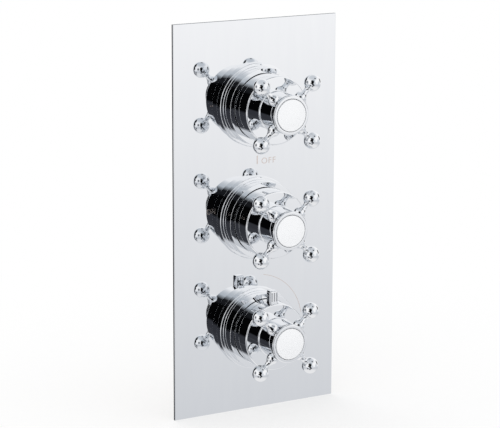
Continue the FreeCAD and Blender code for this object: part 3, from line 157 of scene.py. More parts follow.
for name, azimuth, elevation, distance, size, power in (
        ("key_softbox", -48, 38, 1.7, 1.0, 3.2),
        ("fill_softbox", 55, 30, 1.9, 1.2, 1.5),
        ("back_softbox", 175, 45, 1.8, 1.2, 5.0),
):
    light = bpy.data.lights.new(name, "AREA")
    light.energy = power
    light.size = size
    lamp = bpy.data.objects.new(name, light)
    place = towards(azimuth, elevation) * distance
    lamp.matrix_world = Matrix.Translation(place) @ place.to_track_quat("Z", "Y").to_matrix().to_4x4()
    lamp.visible_glossy = False
    scene.collection.objects.link(lamp)

floor_size, floor_height, fade_from, fade_to = 3000, -150.2, 150, 480
reach = floor_size / 2
floor_mesh = bpy.data.meshes.new("studio_floor")
floor_mesh.from_pydata([Vector((x, y, floor_height)) * MM for x, y in (
    (-reach, -reach), (reach, -reach), (reach, reach), (-reach, reach))], [], [(0, 1, 2, 3)])
studio_floor = bpy.data.objects.new("studio_floor", floor_mesh)
scene.collection.objects.link(studio_floor)
studio_floor.visible_glossy = False
white_sweep, tree = new_material("white_paper_sweep")
place = add(tree, "TexCoord").outputs["Object"]
# matt white paper with a soft fibre grain of some 4 mm
paper_grain = add(tree, "TexNoise", {"Vector": place, "Scale": 1000 / 4, "Detail": 3.0}).outputs["Fac"]
paper_white = add(tree, "Mix", {0: paper_grain, 6: linear("#FBFBFB"), 7: linear("#FFFFFF")},
                  data_type="RGBA").outputs[2]
paper = add(tree, "BsdfDiffuse", {"Color": paper_white}).outputs[0]
glow = add(tree, "Emission", {"Color": linear("#FFFFFF"), "Strength": 1.0}).outputs[0]
# the sweep fades to plain white away from the object, so that it has no edge
spread = add(tree, "VectorMath", {0: place}, operation="LENGTH").outputs["Value"]
fade = add(tree, "MapRange", {"Value": spread, "From Min": fade_from * MM, "From Max": fade_to * MM,
                              "To Min": 0.62, "To Max": 1.0}, interpolation_type="SMOOTHSTEP").outputs[0]
seen = add(tree, "Math", {0: add(tree, "LightPath").outputs["Is Camera Ray"], 1: fade},
           operation="MULTIPLY").outputs[0]
add(tree, "OutputMaterial", {"Surface": add(tree, "MixShader", {0: seen, 1: paper, 2: glow}).outputs[0]})
floor_mesh.materials.append(white_sweep)


# ---- Casting behind the wall ---------------------------------------------------------------
# One sand-cast brass body with three chambers, a duct, inlets, outlets and fixing lugs. The
# necks and boss faces are machined bright, the rest keeps the grain of the moulding sand.


def finish(names, material):
    """Gives CAD nodes their finish."""
    for name in names:
        for slot in nodes[name].material_slots:
            slot.material = material


neck_face = 14
cast_brass, tree = new_material("sand_cast_brass")
place = add(tree, "TexCoord").outputs["Object"]
# moulding sand leaves a pebbled skin of about half a millimetre, with patches of dull oxide
sand = add(tree, "TexNoise", {"Vector": place, "Scale": 1000 / 0.9, "Detail": 6.0,
                              "Roughness": 0.62}).outputs["Fac"]
oxide = add(tree, "TexNoise", {"Vector": place, "Scale": 1000 / 22, "Detail": 5.0,
                               "Roughness": 0.6}).outputs["Fac"]
oxide = add(tree, "MapRange", {"Value": oxide, "From Min": 0.38, "From Max": 0.66}).outputs[0]
# ahead of the necks' shoulder the casting is turned bright
depth = add(tree, "SeparateXYZ", {0: place}).outputs["Y"]
machined = add(tree, "MapRange", {"Value": depth, "From Min": (neck_face + 0.2) * MM,
                                  "From Max": (neck_face - 0.1) * MM}).outputs[0]
skin = add(tree, "Mix", {0: oxide, 6: linear("#C79F58"), 7: linear("#8F6C36")}, data_type="RGBA").outputs[2]
pits = add(tree, "MapRange", {"Value": sand, "From Min": 0.30, "From Max": 0.52}).outputs[0]
skin = add(tree, "Mix", {0: pits, 6: linear("#6E5229"), 7: skin}, data_type="RGBA").outputs[2]
skin = add(tree, "Mix", {0: machined, 6: skin, 7: linear("#DDB96E")}, data_type="RGBA").outputs[2]
gloss = add(tree, "MapRange", {"Value": oxide, "To Min": 0.36, "To Max": 0.58}).outputs[0]
gloss = add(tree, "Mix", {0: machined, 2: gloss, 3: 0.2}).outputs[0]
rough = add(tree, "Math", {0: 1.0, 1: machined}, operation="SUBTRACT").outputs[0]
relief = add(tree, "Math", {0: rough, 1: 0.55}, operation="MULTIPLY").outputs[0]
pebble = add(tree, "Bump", {"Height": sand, "Strength": relief, "Distance": 0.25 * MM}).outputs[0]
add(tree, "OutputMaterial", {"Surface": add(tree, "BsdfPrincipled", {
    "Base Color": skin, "Metallic": 1.0, "Roughness": gloss, "Normal": pebble}).outputs[0]})
finish(["valve_body"], cast_brass)

# ---- Duct plug -----------------------------------------------------------------------------
# Turned from brass bar and screwed into the end of the drilled duct. It is left bright, with
# the fine rings that the lathe leaves.

turned_brass, tree = new_material("turned_brass")
place = add(tree, "TexCoord").outputs["Object"]
# tool marks 0.25 mm apart in reality, drawn at 1.18 mm so that they show; a wave has 20 radians
# to a unit of its scale
marks = add(tree, "TexWave", {"Vector": place, "Scale": math.tau / 20 / (1.18435 * MM), "Distortion": 1.5,
                              "Detail": 2.0}, wave_type="BANDS", bands_direction="Y").outputs["Fac"]
tarnish = add(tree, "TexNoise", {"Vector": place, "Scale": 1000 / 9, "Detail": 4.0}).outputs["Fac"]
bar = add(tree, "Mix", {0: tarnish, 6: linear("#E3C27C"), 7: linear("#C9A35C")}, data_type="RGBA").outputs[2]
gloss = add(tree, "MapRange", {"Value": tarnish, "To Min": 0.16, "To Max": 0.32}).outputs[0]
rings = add(tree, "Bump", {"Height": marks, "Strength": 0.12, "Distance": 0.05 * MM}).outputs[0]
add(tree, "OutputMaterial", {"Surface": add(tree, "BsdfPrincipled", {
    "Base Color": bar, "Metallic": 1.0, "Roughness": gloss, "Normal": rings}).outputs[0]})
finish(["duct_plug"], turned_brass)


# ---- Unions --------------------------------------------------------------------------------
# Four hexagon unions of turned brass, screwed into the bosses against a washer. Each has a
# spigot, a chamfered hexagon and the half-inch pipe thread that takes the supply pipe.


def settle(name, shape, body, material, sharp=32):
    """Makes a piece of a bmesh in millimetres: faces outwards, smooth but for its sharp edges."""
    bmesh.ops.scale(shape, vec=(MM, MM, MM), verts=shape.verts)
    bmesh.ops.recalc_face_normals(shape, faces=shape.faces)
    for face in shape.faces:
        face.smooth = True
    for edge in shape.edges:
        edge.smooth = edge.is_manifold and edge.calc_face_angle(0) < math.radians(sharp)
    mesh = bpy.data.meshes.new(name)
    shape.to_mesh(mesh)
    shape.free()
    piece = bpy.data.objects.new(name, mesh)
    scene.collection.objects.link(piece)
    even = piece.modifiers.new("even_shading", "WEIGHTED_NORMAL")
    even.keep_sharp = True
    mesh.materials.append(material)
    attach(piece, body)
    return piece


def ring_of(shape, placement, radii, along):
    """One ring of points round the axis, its radius given for each step."""
    steps = len(radii)
    return [shape.verts.new(placement @ Vector((radius * math.cos(math.tau * step / steps),
                                                radius * math.sin(math.tau * step / steps), along)))
            for step, radius in enumerate(radii)]


def skin_between(shape, rings, closed=True):
    """Quads between neighbouring rings. A ring of one point is the end on the axis."""
    pairs = list(zip(rings, rings[1:])) + ([(rings[-1], rings[0])] if closed else [])
    for low, high in pairs:
        steps = max(len(low), len(high))
        for step in range(steps):
            after = (step + 1) % steps
            corners = [low[step % len(low)], low[after % len(low)],
                       high[after % len(high)], high[step % len(high)]]
            corners = [c for i, c in enumerate(corners) if c is not corners[i - 1]]
            if len(corners) > 2:
                shape.faces.new(corners)


SIDES = {
    "left": Matrix.Rotation(-math.pi / 2, 4, "Y"),
    "right": Matrix.Rotation(math.pi / 2, 4, "Y"),
    "up": Matrix.Identity(4),
}
port_depth, port_reach, handle_pitch = 25, 30, 86
washer, hexagon_length, flats, waterway = 0.8, 16, 27, 6.5
spigot, spigot_radius, spigot_bevel = 8, 8.45, (0.25, 0.3)
chamfer, chamfer_middle, chamfer_start, mouth_bevel, steps = 1.2, 0.5, 0.35, 0.5, 144
# half-inch parallel pipe thread; its steps are a tenth of a turn, its first turn runs in
thread_crest, thread_root, thread_pitch, thread_floor = 9.32, 10.35, 1.814, 1.2
thread_lead, turn_rows, run_in_rows = 0.6, 10, 8
start, end = port_reach + washer, port_reach + washer + hexagon_length
angles = [math.tau * step / steps for step in range(steps)]
hexagon = [flats / 2 / math.cos((angle + math.pi / 6) % (math.pi / 3) - math.pi / 6) for angle in angles]
for name, side, place in (
        ("hot_inlet_union", "left", (0, port_depth, -handle_pitch)),
        ("cold_inlet_union", "right", (0, port_depth, -handle_pitch)),
        ("side_outlet_union", "right", (0, port_depth, 0)),
        ("top_outlet_union", "up", (0, port_depth, handle_pitch)),
):
    shape = bmesh.new()
    placement = Matrix.Translation(place) @ SIDES[side]
    rings = []
    for radius, along in ((waterway, start - spigot), (spigot_radius - spigot_bevel[0], port_reach - spigot),
                          (spigot_radius, port_reach - spigot + spigot_bevel[1]), (spigot_radius, start)):
        rings.append(ring_of(shape, placement, [radius] * steps, along))
    # the 30 degree chamfer cuts the hexagon's corners at both ends
    for along in (start, start + chamfer_middle, start + chamfer,
                  end - chamfer, end - chamfer_middle, end):
        limit = flats / 2 - chamfer_start + min(along - start, end - along) * math.sqrt(3)
        rings.append(ring_of(shape, placement, [min(radius, limit) for radius in hexagon], along))
    rings.append(ring_of(shape, placement, [thread_root + mouth_bevel] * steps, end))
    rows = int((hexagon_length - thread_floor - 2 * thread_lead) / thread_pitch * turn_rows)
    for row in range(rows + 1):
        along = end - thread_lead - row * thread_pitch / turn_rows
        radii = []
        for angle in angles:
            # across one turn: a flat crest, sloped flanks and a flat root
            phase = (along / thread_pitch - angle / math.tau) % 1
            rise = min(1, max(0, abs(phase - 0.5) * 2.6 - 0.15))
            run_in = min(1, row / run_in_rows)
            radii.append(thread_crest + (thread_root - thread_crest) * max(rise, 1 - run_in))
        rings.append(ring_of(shape, placement, radii, along))
    rings.append(ring_of(shape, placement, [thread_crest] * steps, start + thread_floor))
    rings.append(ring_of(shape, placement, [waterway] * steps, start + thread_floor))
    skin_between(shape, rings)
    union = settle(name + "_threaded", shape, "valve", turned_brass)
    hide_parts(name)

# ---- Washers and strainers -----------------------------------------------------------------
# Flat washers of red vulcanised fibre under the unions, and stainless thimbles of woven wire
# in both inlets.

fibre, tree = new_material("vulcanised_fibre")
place = add(tree, "TexCoord").outputs["Object"]
# pressed cotton fibres show as streaks 0.3 mm wide, and leave the surface dull
lie = add(tree, "Mapping", {"Vector": place, "Scale": (1.0, 1.0, 0.25)}).outputs[0]
fibres = add(tree, "TexNoise", {"Vector": lie, "Scale": 1000 / 0.6, "Detail": 4.0}).outputs["Fac"]
red = add(tree, "Mix", {0: fibres, 6: linear("#7E2F24"), 7: linear("#A24A36")}, data_type="RGBA").outputs[2]
felt = add(tree, "Bump", {"Height": fibres, "Strength": 0.3, "Distance": 0.06 * MM}).outputs[0]
add(tree, "OutputMaterial", {"Surface": add(tree, "BsdfPrincipled", {
    "Base Color": red, "Roughness": 0.7, "Normal": felt}).outputs[0]})
finish(["union_washers"], fibre)

wire_mesh, tree = new_material("woven_stainless_wire")
place = add(tree, "TexCoord").outputs["Object"]
# bright wires every 0.5 mm, drawn at 0.99 mm, that cross over the mesh's holes; the holes are painted dark,
# as painted shade seen through them
wires = {"Vector": place, "Scale": math.tau / 20 / (0.98696 * MM)}
warp = add(tree, "TexWave", wires, bands_direction="X").outputs["Fac"]
weft = add(tree, "TexWave", wires, bands_direction="Z").outputs["Fac"]
weave = add(tree, "Math", {0: warp, 1: weft}, operation="MAXIMUM").outputs[0]
wire = add(tree, "Mix", {0: weave, 6: linear("#3A3B3C"), 7: linear("#C4C5C6")}, data_type="RGBA").outputs[2]
relief = add(tree, "Bump", {"Height": weave, "Strength": 0.8, "Distance": 0.15 * MM}).outputs[0]
add(tree, "OutputMaterial", {"Surface": add(tree, "BsdfPrincipled", {
    "Base Color": wire, "Metallic": 1.0, "Roughness": 0.3, "Normal": relief}).outputs[0]})
finish(["inlet_strainers"], wire_mesh)

# ---- Check valves --------------------------------------------------------------------------
# One push-in valve in each supply keeps water from running back. Cage and disc are moulded in
# acetal, and a small stainless spring closes the disc.

acetal, tree = new_material("moulded_acetal")
place = add(tree, "TexCoord").outputs["Object"]
# the plastic is milky, with flow streaks some millimetres long and a fine satin skin
flow = add(tree, "TexNoise", {"Vector": place, "Scale": 1000 / 6, "Detail": 2.0}).outputs["Fac"]
satin = add(tree, "TexNoise", {"Vector": place, "Scale": 1000 / 0.3, "Detail": 2.0}).outputs["Fac"]
milky = add(tree, "Mix", {0: flow, 6: linear("#E4E2DA"), 7: linear("#F1EFE8")}, data_type="RGBA").outputs[2]
skin = add(tree, "Bump", {"Height": satin, "Strength": 0.15, "Distance": 0.03 * MM}).outputs[0]
add(tree, "OutputMaterial", {"Surface": add(tree, "BsdfPrincipled", {
    "Base Color": milky, "Roughness": 0.38, "IOR": 1.48, "Normal": skin}).outputs[0]})
finish(["hot_check_cage", "cold_check_cage", "hot_check_poppet", "cold_check_poppet"], acetal)

stainless, tree = new_material("drawn_stainless_steel")
place = add(tree, "TexCoord").outputs["Object"]
# die lines 0.2 mm wide, drawn at twice that, give the wire a soft lengthwise sheen
lie = add(tree, "Mapping", {"Vector": place, "Scale": (1.0, 0.1, 1.0)}).outputs[0]
lines = add(tree, "TexNoise", {"Vector": lie, "Scale": 1000 / 0.4, "Detail": 3.0}).outputs["Fac"]
steel = add(tree, "Mix", {0: lines, 6: linear("#B4B5B6"), 7: linear("#D3D4D4")}, data_type="RGBA").outputs[2]
gloss = add(tree, "MapRange", {"Value": lines, "To Min": 0.2, "To Max": 0.34}).outputs[0]
drawn = add(tree, "Bump", {"Height": lines, "Strength": 0.1, "Distance": 0.03 * MM}).outputs[0]
add(tree, "OutputMaterial", {"Surface": add(tree, "BsdfPrincipled", {
    "Base Color": steel, "Metallic": 1.0, "Roughness": gloss, "Normal": drawn}).outputs[0]})
finish(["hot_check_spring", "cold_check_spring"], stainless)

# ---- Ceramic cartridges --------------------------------------------------------------------
# Two quarter-turn cartridges: a brass barrel and spindle, and two lapped alumina discs on a
# rubber seat. The moving disc turns with the spindle over the fixed one.

finish(["top_cartridge_body", "middle_cartridge_body", "top_spindle", "middle_spindle"], turned_brass)

alumina, tree = new_material("lapped_alumina")
place = add(tree, "TexCoord").outputs["Object"]
# ivory ceramic, lapped until it shines in patches, with a grain drawn at 0.5 mm so that it shows
grain = add(tree, "TexNoise", {"Vector": place, "Scale": 1000 / 0.5, "Detail": 5.0}).outputs["Fac"]
fired = add(tree, "Mix", {0: grain, 6: linear("#E9E2D6"), 7: linear("#F5F1E9")}, data_type="RGBA").outputs[2]
gloss = add(tree, "MapRange", {"Value": grain, "To Min": 0.16, "To Max": 0.3}).outputs[0]
add(tree, "OutputMaterial", {"Surface": add(tree, "BsdfPrincipled", {
    "Base Color": fired, "Roughness": gloss, "IOR": 1.76}).outputs[0]})
finish(["top_moving_disc", "middle_moving_disc", "fixed_discs"], alumina)

rubber, tree = new_material("moulded_epdm_rubber")
place = add(tree, "TexCoord").outputs["Object"]
# bloom of talc in patches and a mould grain of 0.2 mm
bloom = add(tree, "TexNoise", {"Vector": place, "Scale": 1000 / 7, "Detail": 4.0}).outputs["Fac"]
grain = add(tree, "TexNoise", {"Vector": place, "Scale": 1000 / 0.4, "Detail": 3.0}).outputs["Fac"]
black = add(tree, "Mix", {0: bloom, 6: linear("#19191A"), 7: linear("#2B2B2C")}, data_type="RGBA").outputs[2]
skin = add(tree, "Bump", {"Height": grain, "Strength": 0.25, "Distance": 0.04 * MM}).outputs[0]
add(tree, "OutputMaterial", {"Surface": add(tree, "BsdfPrincipled", {
    "Base Color": black, "Roughness": 0.62, "IOR": 1.52, "Normal": skin}).outputs[0]})
finish(["seat_seals", "gland_rings"], rubber)

# ---- Thermostat ----------------------------------------------------------------------------
# A brass barrel with its spindle and drive nut, a capsule of wax in drawn copper, and an
# acetal shuttle that a stainless spring pushes back.

finish(["thermostat_body", "temperature_spindle", "drive_nut"], turned_brass)
finish(["shuttle"], acetal)
finish(["return_spring"], stainless)

copper, tree = new_material("drawn_copper")
place = add(tree, "TexCoord").outputs["Object"]
# drawn bright, with brown stains some 5 mm across where it was handled
stain = add(tree, "TexNoise", {"Vector": place, "Scale": 1000 / 5, "Detail": 5.0}).outputs["Fac"]
shell = add(tree, "Mix", {0: stain, 6: linear("#D08A62"), 7: linear("#9A5A3C")}, data_type="RGBA").outputs[2]
gloss = add(tree, "MapRange", {"Value": stain, "To Min": 0.2, "To Max": 0.42}).outputs[0]
add(tree, "OutputMaterial", {"Surface": add(tree, "BsdfPrincipled", {
    "Base Color": shell, "Metallic": 1.0, "Roughness": gloss}).outputs[0]})
finish(["wax_element"], copper)

# ---- Extension sleeves ---------------------------------------------------------------------
# Three brass tubes with a fine outside thread. They stand on the casting's necks, come through
# the plate and carry the collars.

AHEAD = Matrix.Rotation(math.pi / 2, 4, "X")
# the sleeves reach as far ahead of the wall's plane as behind it; the thread runs out at the ends
sleeve_radius, sleeve_bore, sleeve_reach = 19, 16.55, 12
fine_pitch, fine_depth, run_out, rows_to_a_turn = 1.5, 0.5, 1.0, 6
rows = int(2 * sleeve_reach / fine_pitch * rows_to_a_turn)
shape = bmesh.new()
for level in (-handle_pitch, 0, handle_pitch):
    placement = Matrix.Translation((0, 0, level)) @ AHEAD
    rings = [ring_of(shape, placement, [sleeve_bore] * steps, -sleeve_reach)]
    for row in range(rows + 1):
        along = -sleeve_reach + 2 * sleeve_reach * row / rows
        taper = max(0, min(1, (sleeve_reach - abs(along)) / run_out))
        radii = []
        for step in range(steps):
            phase = (along / fine_pitch - step / steps) % 1
            crest = min(1, max(0, 1.3 - abs(phase - 0.5) * 2.8))
            radii.append(sleeve_radius - fine_depth + fine_depth * crest * taper)
        rings.append(ring_of(shape, placement, radii, along))
    rings.append(ring_of(shape, placement, [sleeve_bore] * steps, sleeve_reach))
    skin_between(shape, rings)
sleeves = settle("threaded_sleeves", shape, "valve", turned_brass)
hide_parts("extension_sleeves")

# ---- Plate seal ----------------------------------------------------------------------------
# A frame of closed-cell foam, die-cut from sheet and stuck to the plate's back, that keeps
# water from running behind the plate.

foam, tree = new_material("closed_cell_foam")
place = add(tree, "TexCoord").outputs["Object"]
# cells 0.6 mm across, cut open by the die, make it matt; their hollows are painted darker, as painted shade
cells = add(tree, "TexVoronoi", {"Vector": place, "Scale": 1000 / 0.6}).outputs["Distance"]
grey_with_painted_pore_shade = add(tree, "Mix", {0: cells, 6: linear("#2E2F31"), 7: linear("#47484A")}, data_type="RGBA").outputs[2]
pores = add(tree, "Bump", {"Height": cells, "Strength": 0.6, "Distance": 0.2 * MM}).outputs[0]
add(tree, "OutputMaterial", {"Surface": add(tree, "BsdfPrincipled", {
    "Base Color": grey_with_painted_pore_shade, "Roughness": 0.85, "Normal": pores}).outputs[0]})
finish(["plate_seal"], foam)

# ---- Front plate ---------------------------------------------------------------------------
# 2 mm brass sheet, polished flat and chrome plated, with the edges eased on a mop. It mirrors
# the handles almost without a ripple.

plate_front = 3
PLATE_FRONT = Matrix.Translation((0, -plate_front, 0))
mirror_plate, tree = new_material("mirror_polished_chrome_sheet")
place = add(tree, "TexCoord").outputs["Object"]
# polishing leaves the sheet out of flat by microns over some 40 mm, and a faint haze in streaks
swell = add(tree, "TexNoise", {"Vector": place, "Scale": 1000 / 60, "Detail": 1.0}).outputs["Fac"]
lie = add(tree, "Mapping", {"Vector": place, "Scale": (1.0, 1.0, 0.12)}).outputs[0]
haze = add(tree, "TexNoise", {"Vector": lie, "Scale": 1000 / 5, "Detail": 4.0}).outputs["Fac"]
gloss = add(tree, "MapRange", {"Value": haze, "From Min": 0.3, "From Max": 0.8,
                               "To Min": 0.006, "To Max": 0.03}).outputs[0]
silver = add(tree, "Mix", {0: haze, 6: linear("#EFF1F3"), 7: linear("#EBEDF0")}, data_type="RGBA").outputs[2]
flat = add(tree, "Bump", {"Height": swell, "Strength": 0.05, "Distance": 0.4 * MM}).outputs[0]
add(tree, "OutputMaterial", {"Surface": add(tree, "BsdfPrincipled", {
    "Base Color": silver, "Metallic": 1.0, "Roughness": gloss, "Normal": flat}).outputs[0]})
finish(["front_plate"], mirror_plate)

# ---- Marks on the plate --------------------------------------------------------------------
# OFF and ON for the flow handles, a bar that shows where each shuts, and the arc over which
# the temperature handle turns. All are burnt into the chrome by laser, as a faint satin tan.

laser_mark, tree = new_material("laser_burnt_chrome")
place = add(tree, "TexCoord").outputs["Object"]
# the beam colours the chrome unevenly, in specks drawn at 0.8 mm so that they show
burn = add(tree, "TexNoise", {"Vector": place, "Scale": 1000 / 0.8, "Detail": 3.0}).outputs["Fac"]
tan = add(tree, "Mix", {0: burn, 6: linear("#D8CBC4"), 7: linear("#E3D8D2")}, data_type="RGBA").outputs[2]
add(tree, "OutputMaterial", {"Surface": add(tree, "BsdfPrincipled", {
    "Base Color": tan, "Metallic": 0.88, "Roughness": 0.14}).outputs[0]})
mark_lift, mark_thickness = 0.01, 0.03


def flat_mark(shape, outline):
    """A closed outline (x, z) on the plate's front, given the mark's thickness."""
    faces = []
    for lift in (mark_lift, mark_lift + mark_thickness):
        faces.append([shape.verts.new(Vector((x, -plate_front - lift, z))) for x, z in outline])
    shape.faces.new(faces[0])
    shape.faces.new(faces[1])
    skin_between(shape, faces, closed=False)


def word(name, text, left, bottom, across, height):
    """Plain capitals on the plate, made as a mesh and fitted to their width and height."""
    curve = bpy.data.curves.new(name + "_curve", "FONT")
    curve.body = text
    # capitals are 0.7 of the font's size, and stand a little apart
    curve.size = height / 0.7
    curve.space_character = 1.12
    curve.extrude = mark_thickness / 2
    writing = bpy.data.objects.new(name + "_curve", curve)
    scene.collection.objects.link(writing)
    bpy.context.view_layer.update()
    evaluated = writing.evaluated_get(bpy.context.evaluated_depsgraph_get())
    mesh = bpy.data.meshes.new_from_object(evaluated)
    bpy.data.objects.remove(writing)
    shape = bmesh.new()
    shape.from_mesh(mesh)
    bmesh.ops.remove_doubles(shape, verts=shape.verts, dist=0.001)
    low = [min(vert.co[axis] for vert in shape.verts) for axis in range(2)]
    high = [max(vert.co[axis] for vert in shape.verts) for axis in range(2)]
    fit = Matrix.Diagonal((across / (high[0] - low[0]), height / (high[1] - low[1]), 1, 1))
    corner = Matrix.Translation((left, -plate_front - mark_lift - mark_thickness / 2, bottom)) @ AHEAD
    bmesh.ops.transform(shape, matrix=corner @ fit @ Matrix.Translation((-low[0], -low[1], 0)),
                        verts=shape.verts)
    return settle(name, shape, "valve", laser_mark)


word("mark_off", "OFF", 5.1, 40.4, 12.2, 4.5)
word("mark_on", "ON", -41.6, 6.2, 7.2, 4.1)
shape = bmesh.new()
for left, bottom, across, tall in ((1.0, 40.6, 0.9, 6.4), (-38.8, 87.6, 2.8, 0.6)):
    flat_mark(shape, [(left, bottom), (left + across, bottom), (left + across, bottom + tall),
                      (left, bottom + tall)])
arc_radius, arc_width, arc_from, arc_to, arc_steps = 41, 0.4, 9, 80, 60
turns = [math.radians(arc_from + (arc_to - arc_from) * step / arc_steps) for step in range(arc_steps + 1)]
arc_line = [(arc_radius + arc_width / 2, turn) for turn in turns]
arc_line += [(arc_radius - arc_width / 2, turn) for turn in reversed(turns)]
flat_mark(shape, [(radius * math.cos(turn), -handle_pitch + radius * math.sin(turn))
                  for radius, turn in arc_line])
settle("mark_bars", shape, "valve", laser_mark)

# ---- Collars -------------------------------------------------------------------------------
# Stepped brass rings, chrome plated, that screw down the sleeves and clamp the plate, each over
# a rubber ring in its foot. The drum of the handle turns in the recess in their front.

finish(["collar_rings"], rubber)

polished_chrome, tree = new_material("polished_chrome_plating")
place = add(tree, "TexCoord").outputs["Object"]
# mopping marks as a faint orange peel some 3 mm across, and wiped water haze in patches
peel = add(tree, "TexNoise", {"Vector": place, "Scale": 1000 / 5, "Detail": 2.0}).outputs["Fac"]
haze = add(tree, "TexNoise", {"Vector": place, "Scale": 1000 / 14, "Detail": 4.0}).outputs["Fac"]
gloss = add(tree, "MapRange", {"Value": haze, "From Min": 0.3, "From Max": 0.75,
                               "To Min": 0.004, "To Max": 0.02}).outputs[0]
silver = add(tree, "Mix", {0: haze, 6: linear("#F1F3F5"), 7: linear("#ECEEF1")}, data_type="RGBA").outputs[2]
mopped = add(tree, "Bump", {"Height": peel, "Strength": 0.05, "Distance": 0.1 * MM}).outputs[0]
add(tree, "OutputMaterial", {"Surface": add(tree, "BsdfPrincipled", {
    "Base Color": silver, "Metallic": 1.0, "Roughness": gloss, "Normal": mopped}).outputs[0]})


def rounded(corners, share=7):
    """The outline with its corners (radius, along, rounding) turned to arcs."""
    line = []
    for index, (x, y, round_by) in enumerate(corners):
        here = Vector((x, y))
        if not round_by:
            line.append((x, y))
            continue
        before = (Vector(corners[index - 1][:2]) - here).normalized()
        after = (Vector(corners[(index + 1) % len(corners)][:2]) - here).normalized()
        half = before.angle(after) / 2
        centre = here + (before + after).normalized() * round_by / math.sin(half)
        first = here + before * round_by / math.tan(half) - centre
        sweep = first.angle_signed(here + after * round_by / math.tan(half) - centre)
        for step in range(share + 1):
            turned_by = Matrix.Rotation(-sweep * step / share, 2)
            line.append(tuple(centre + turned_by @ first))
    return line


def turned(name, outline, placements, body, material, steps=144):
    """Closed solids turned round their own axis from one outline (radius, along)."""
    shape = bmesh.new()
    for placement in placements:
        rings = [ring_of(shape, placement, [radius] * (steps if radius else 1), along)
                 for radius, along in outline]
        skin_between(shape, rings)
    return settle(name, shape, body, material)


HANDLES = {"top": (handle_pitch, "top_handle"), "middle": (0, "middle_handle"),
           "bottom": (-handle_pitch, "temperature_handle")}
foot_radius, foot_height, collar_radius, collar_height = 31.6, 3, 29.3, 14
recess_radius, recess_depth, collar_bore = 25.9, 3.2, 19.05
groove_inner, groove_outer, groove_depth = 26, 28, 1.7
recess_floor = collar_height - recess_depth
collar_line = rounded([
    (collar_bore, 0, 0), (groove_inner, 0, 0), (groove_inner, groove_depth, 0),
    (groove_outer, groove_depth, 0), (groove_outer, 0, 0), (foot_radius, 0, 0),
    (foot_radius, foot_height, 0.5), (collar_radius, foot_height, 0.3),
    (collar_radius, collar_height, 0.2), (recess_radius, collar_height, 0.12),
    (recess_radius, recess_floor, 0), (collar_bore, recess_floor, 0),
])
for place_name, (level, body) in HANDLES.items():
    collar = turned(place_name + "_stepped_collar", collar_line,
                    [PLATE_FRONT @ Matrix.Translation((0, 0, level)) @ AHEAD],
                    "valve", polished_chrome)
    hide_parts(place_name + "_collar")

# ---- Splined bushes ------------------------------------------------------------------------
# Black nylon bushes that carry the drums on the splines of the three spindles. They are
# moulded in one shot and pushed home into the drums.

nylon, tree = new_material("moulded_black_nylon")
place = add(tree, "TexCoord").outputs["Object"]
# the mould's spark-eroded texture, 0.25 mm, drawn at 0.5 mm, dulls the black
grain = add(tree, "TexNoise", {"Vector": place, "Scale": 1000 / 0.5, "Detail": 3.0}).outputs["Fac"]
dark = add(tree, "Mix", {0: grain, 6: linear("#1B1B1C"), 7: linear("#262627")}, data_type="RGBA").outputs[2]
skin = add(tree, "Bump", {"Height": grain, "Strength": 0.3, "Distance": 0.05 * MM}).outputs[0]
add(tree, "OutputMaterial", {"Surface": add(tree, "BsdfPrincipled", {
    "Base Color": dark, "Roughness": 0.5, "IOR": 1.53, "Normal": skin}).outputs[0]})
finish([place_name + "_spline_adaptor" for place_name in HANDLES], nylon)

# ---- Handle drums --------------------------------------------------------------------------
# Drum, hub and core turned from one brass bar, drilled and spot-faced for the spokes, then
# polished and chrome plated. The CAD solids are kept.

finish([place_name + "_handle_body" for place_name in HANDLES], polished_chrome)

# ---- Spokes --------------------------------------------------------------------------------
# Four to a handle, each turned in one piece: a bulb on the hub, a hollowed waist and a ball.
# They are chrome plated and screwed into the hub by a stud.

spoke_height, stud_radius, stud_start = 46.1, 2.2, 9.3
bulb_seat, bulb_reach, bulb_radius = 14.2, 15.8, 4.5
waist_reach, waist_radius, ball_reach, ball_radius = 22.9, 1.95, 30.2, 6.25
first_spoke_angle = 45


def hollow(reach, radius):
    """Radius and touching angle of the hollow between the waist and a round on the axis."""
    run = waist_reach - reach
    hollow_radius = (run ** 2 + waist_radius ** 2 - radius ** 2) / (2 * (radius - waist_radius))
    return hollow_radius, math.atan2(waist_radius + hollow_radius, run)


def arc(centre, radius, start, end, count):
    """Points (radius, along) of an arc whose angles run from the axis' direction."""
    angles = [start + (end - start) * step / count for step in range(count + 1)]
    return [(centre[1] + radius * math.sin(a), centre[0] + radius * math.cos(a)) for a in angles]


bulb_hollow, bulb_touch = hollow(bulb_reach, bulb_radius)
ball_hollow, ball_touch = hollow(ball_reach, ball_radius)
bulb_foot = math.acos((bulb_seat - bulb_reach) / bulb_radius)
spoke_line = [(0, stud_start), (stud_radius, stud_start), (stud_radius, bulb_seat)]
spoke_line += arc((bulb_reach, 0), bulb_radius, bulb_foot, bulb_touch, 14)
spoke_line += arc((waist_reach, waist_radius + bulb_hollow), bulb_hollow, bulb_touch + math.pi,
                  1.5 * math.pi, 10)[1:]
spoke_line += arc((waist_reach, waist_radius + ball_hollow), ball_hollow, 1.5 * math.pi,
                  ball_touch + math.pi, 12)[1:]
spoke_line += arc((ball_reach, 0), ball_radius, ball_touch, 0, 26)[1:-1]
spoke_line += [(0, ball_reach + ball_radius)]
for place_name, (level, body) in HANDLES.items():
    hub = PLATE_FRONT @ Matrix.Translation((0, -spoke_height, level))
    placements = [hub @ Matrix.Rotation(math.radians(first_spoke_angle + 90 * quarter), 4, "Y")
                  for quarter in range(4)]
    spokes = turned(place_name + "_ball_spokes", spoke_line, placements, body, polished_chrome,
                    64)
    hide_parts(place_name + "_spokes")

# ---- Handle screws -------------------------------------------------------------------------
# One stainless screw under each cap, its shank drawn and its head turned. It goes through the
# hub and draws the drum on to its spindle.

finish([place_name + "_handle_screw" for place_name in HANDLES], stainless)

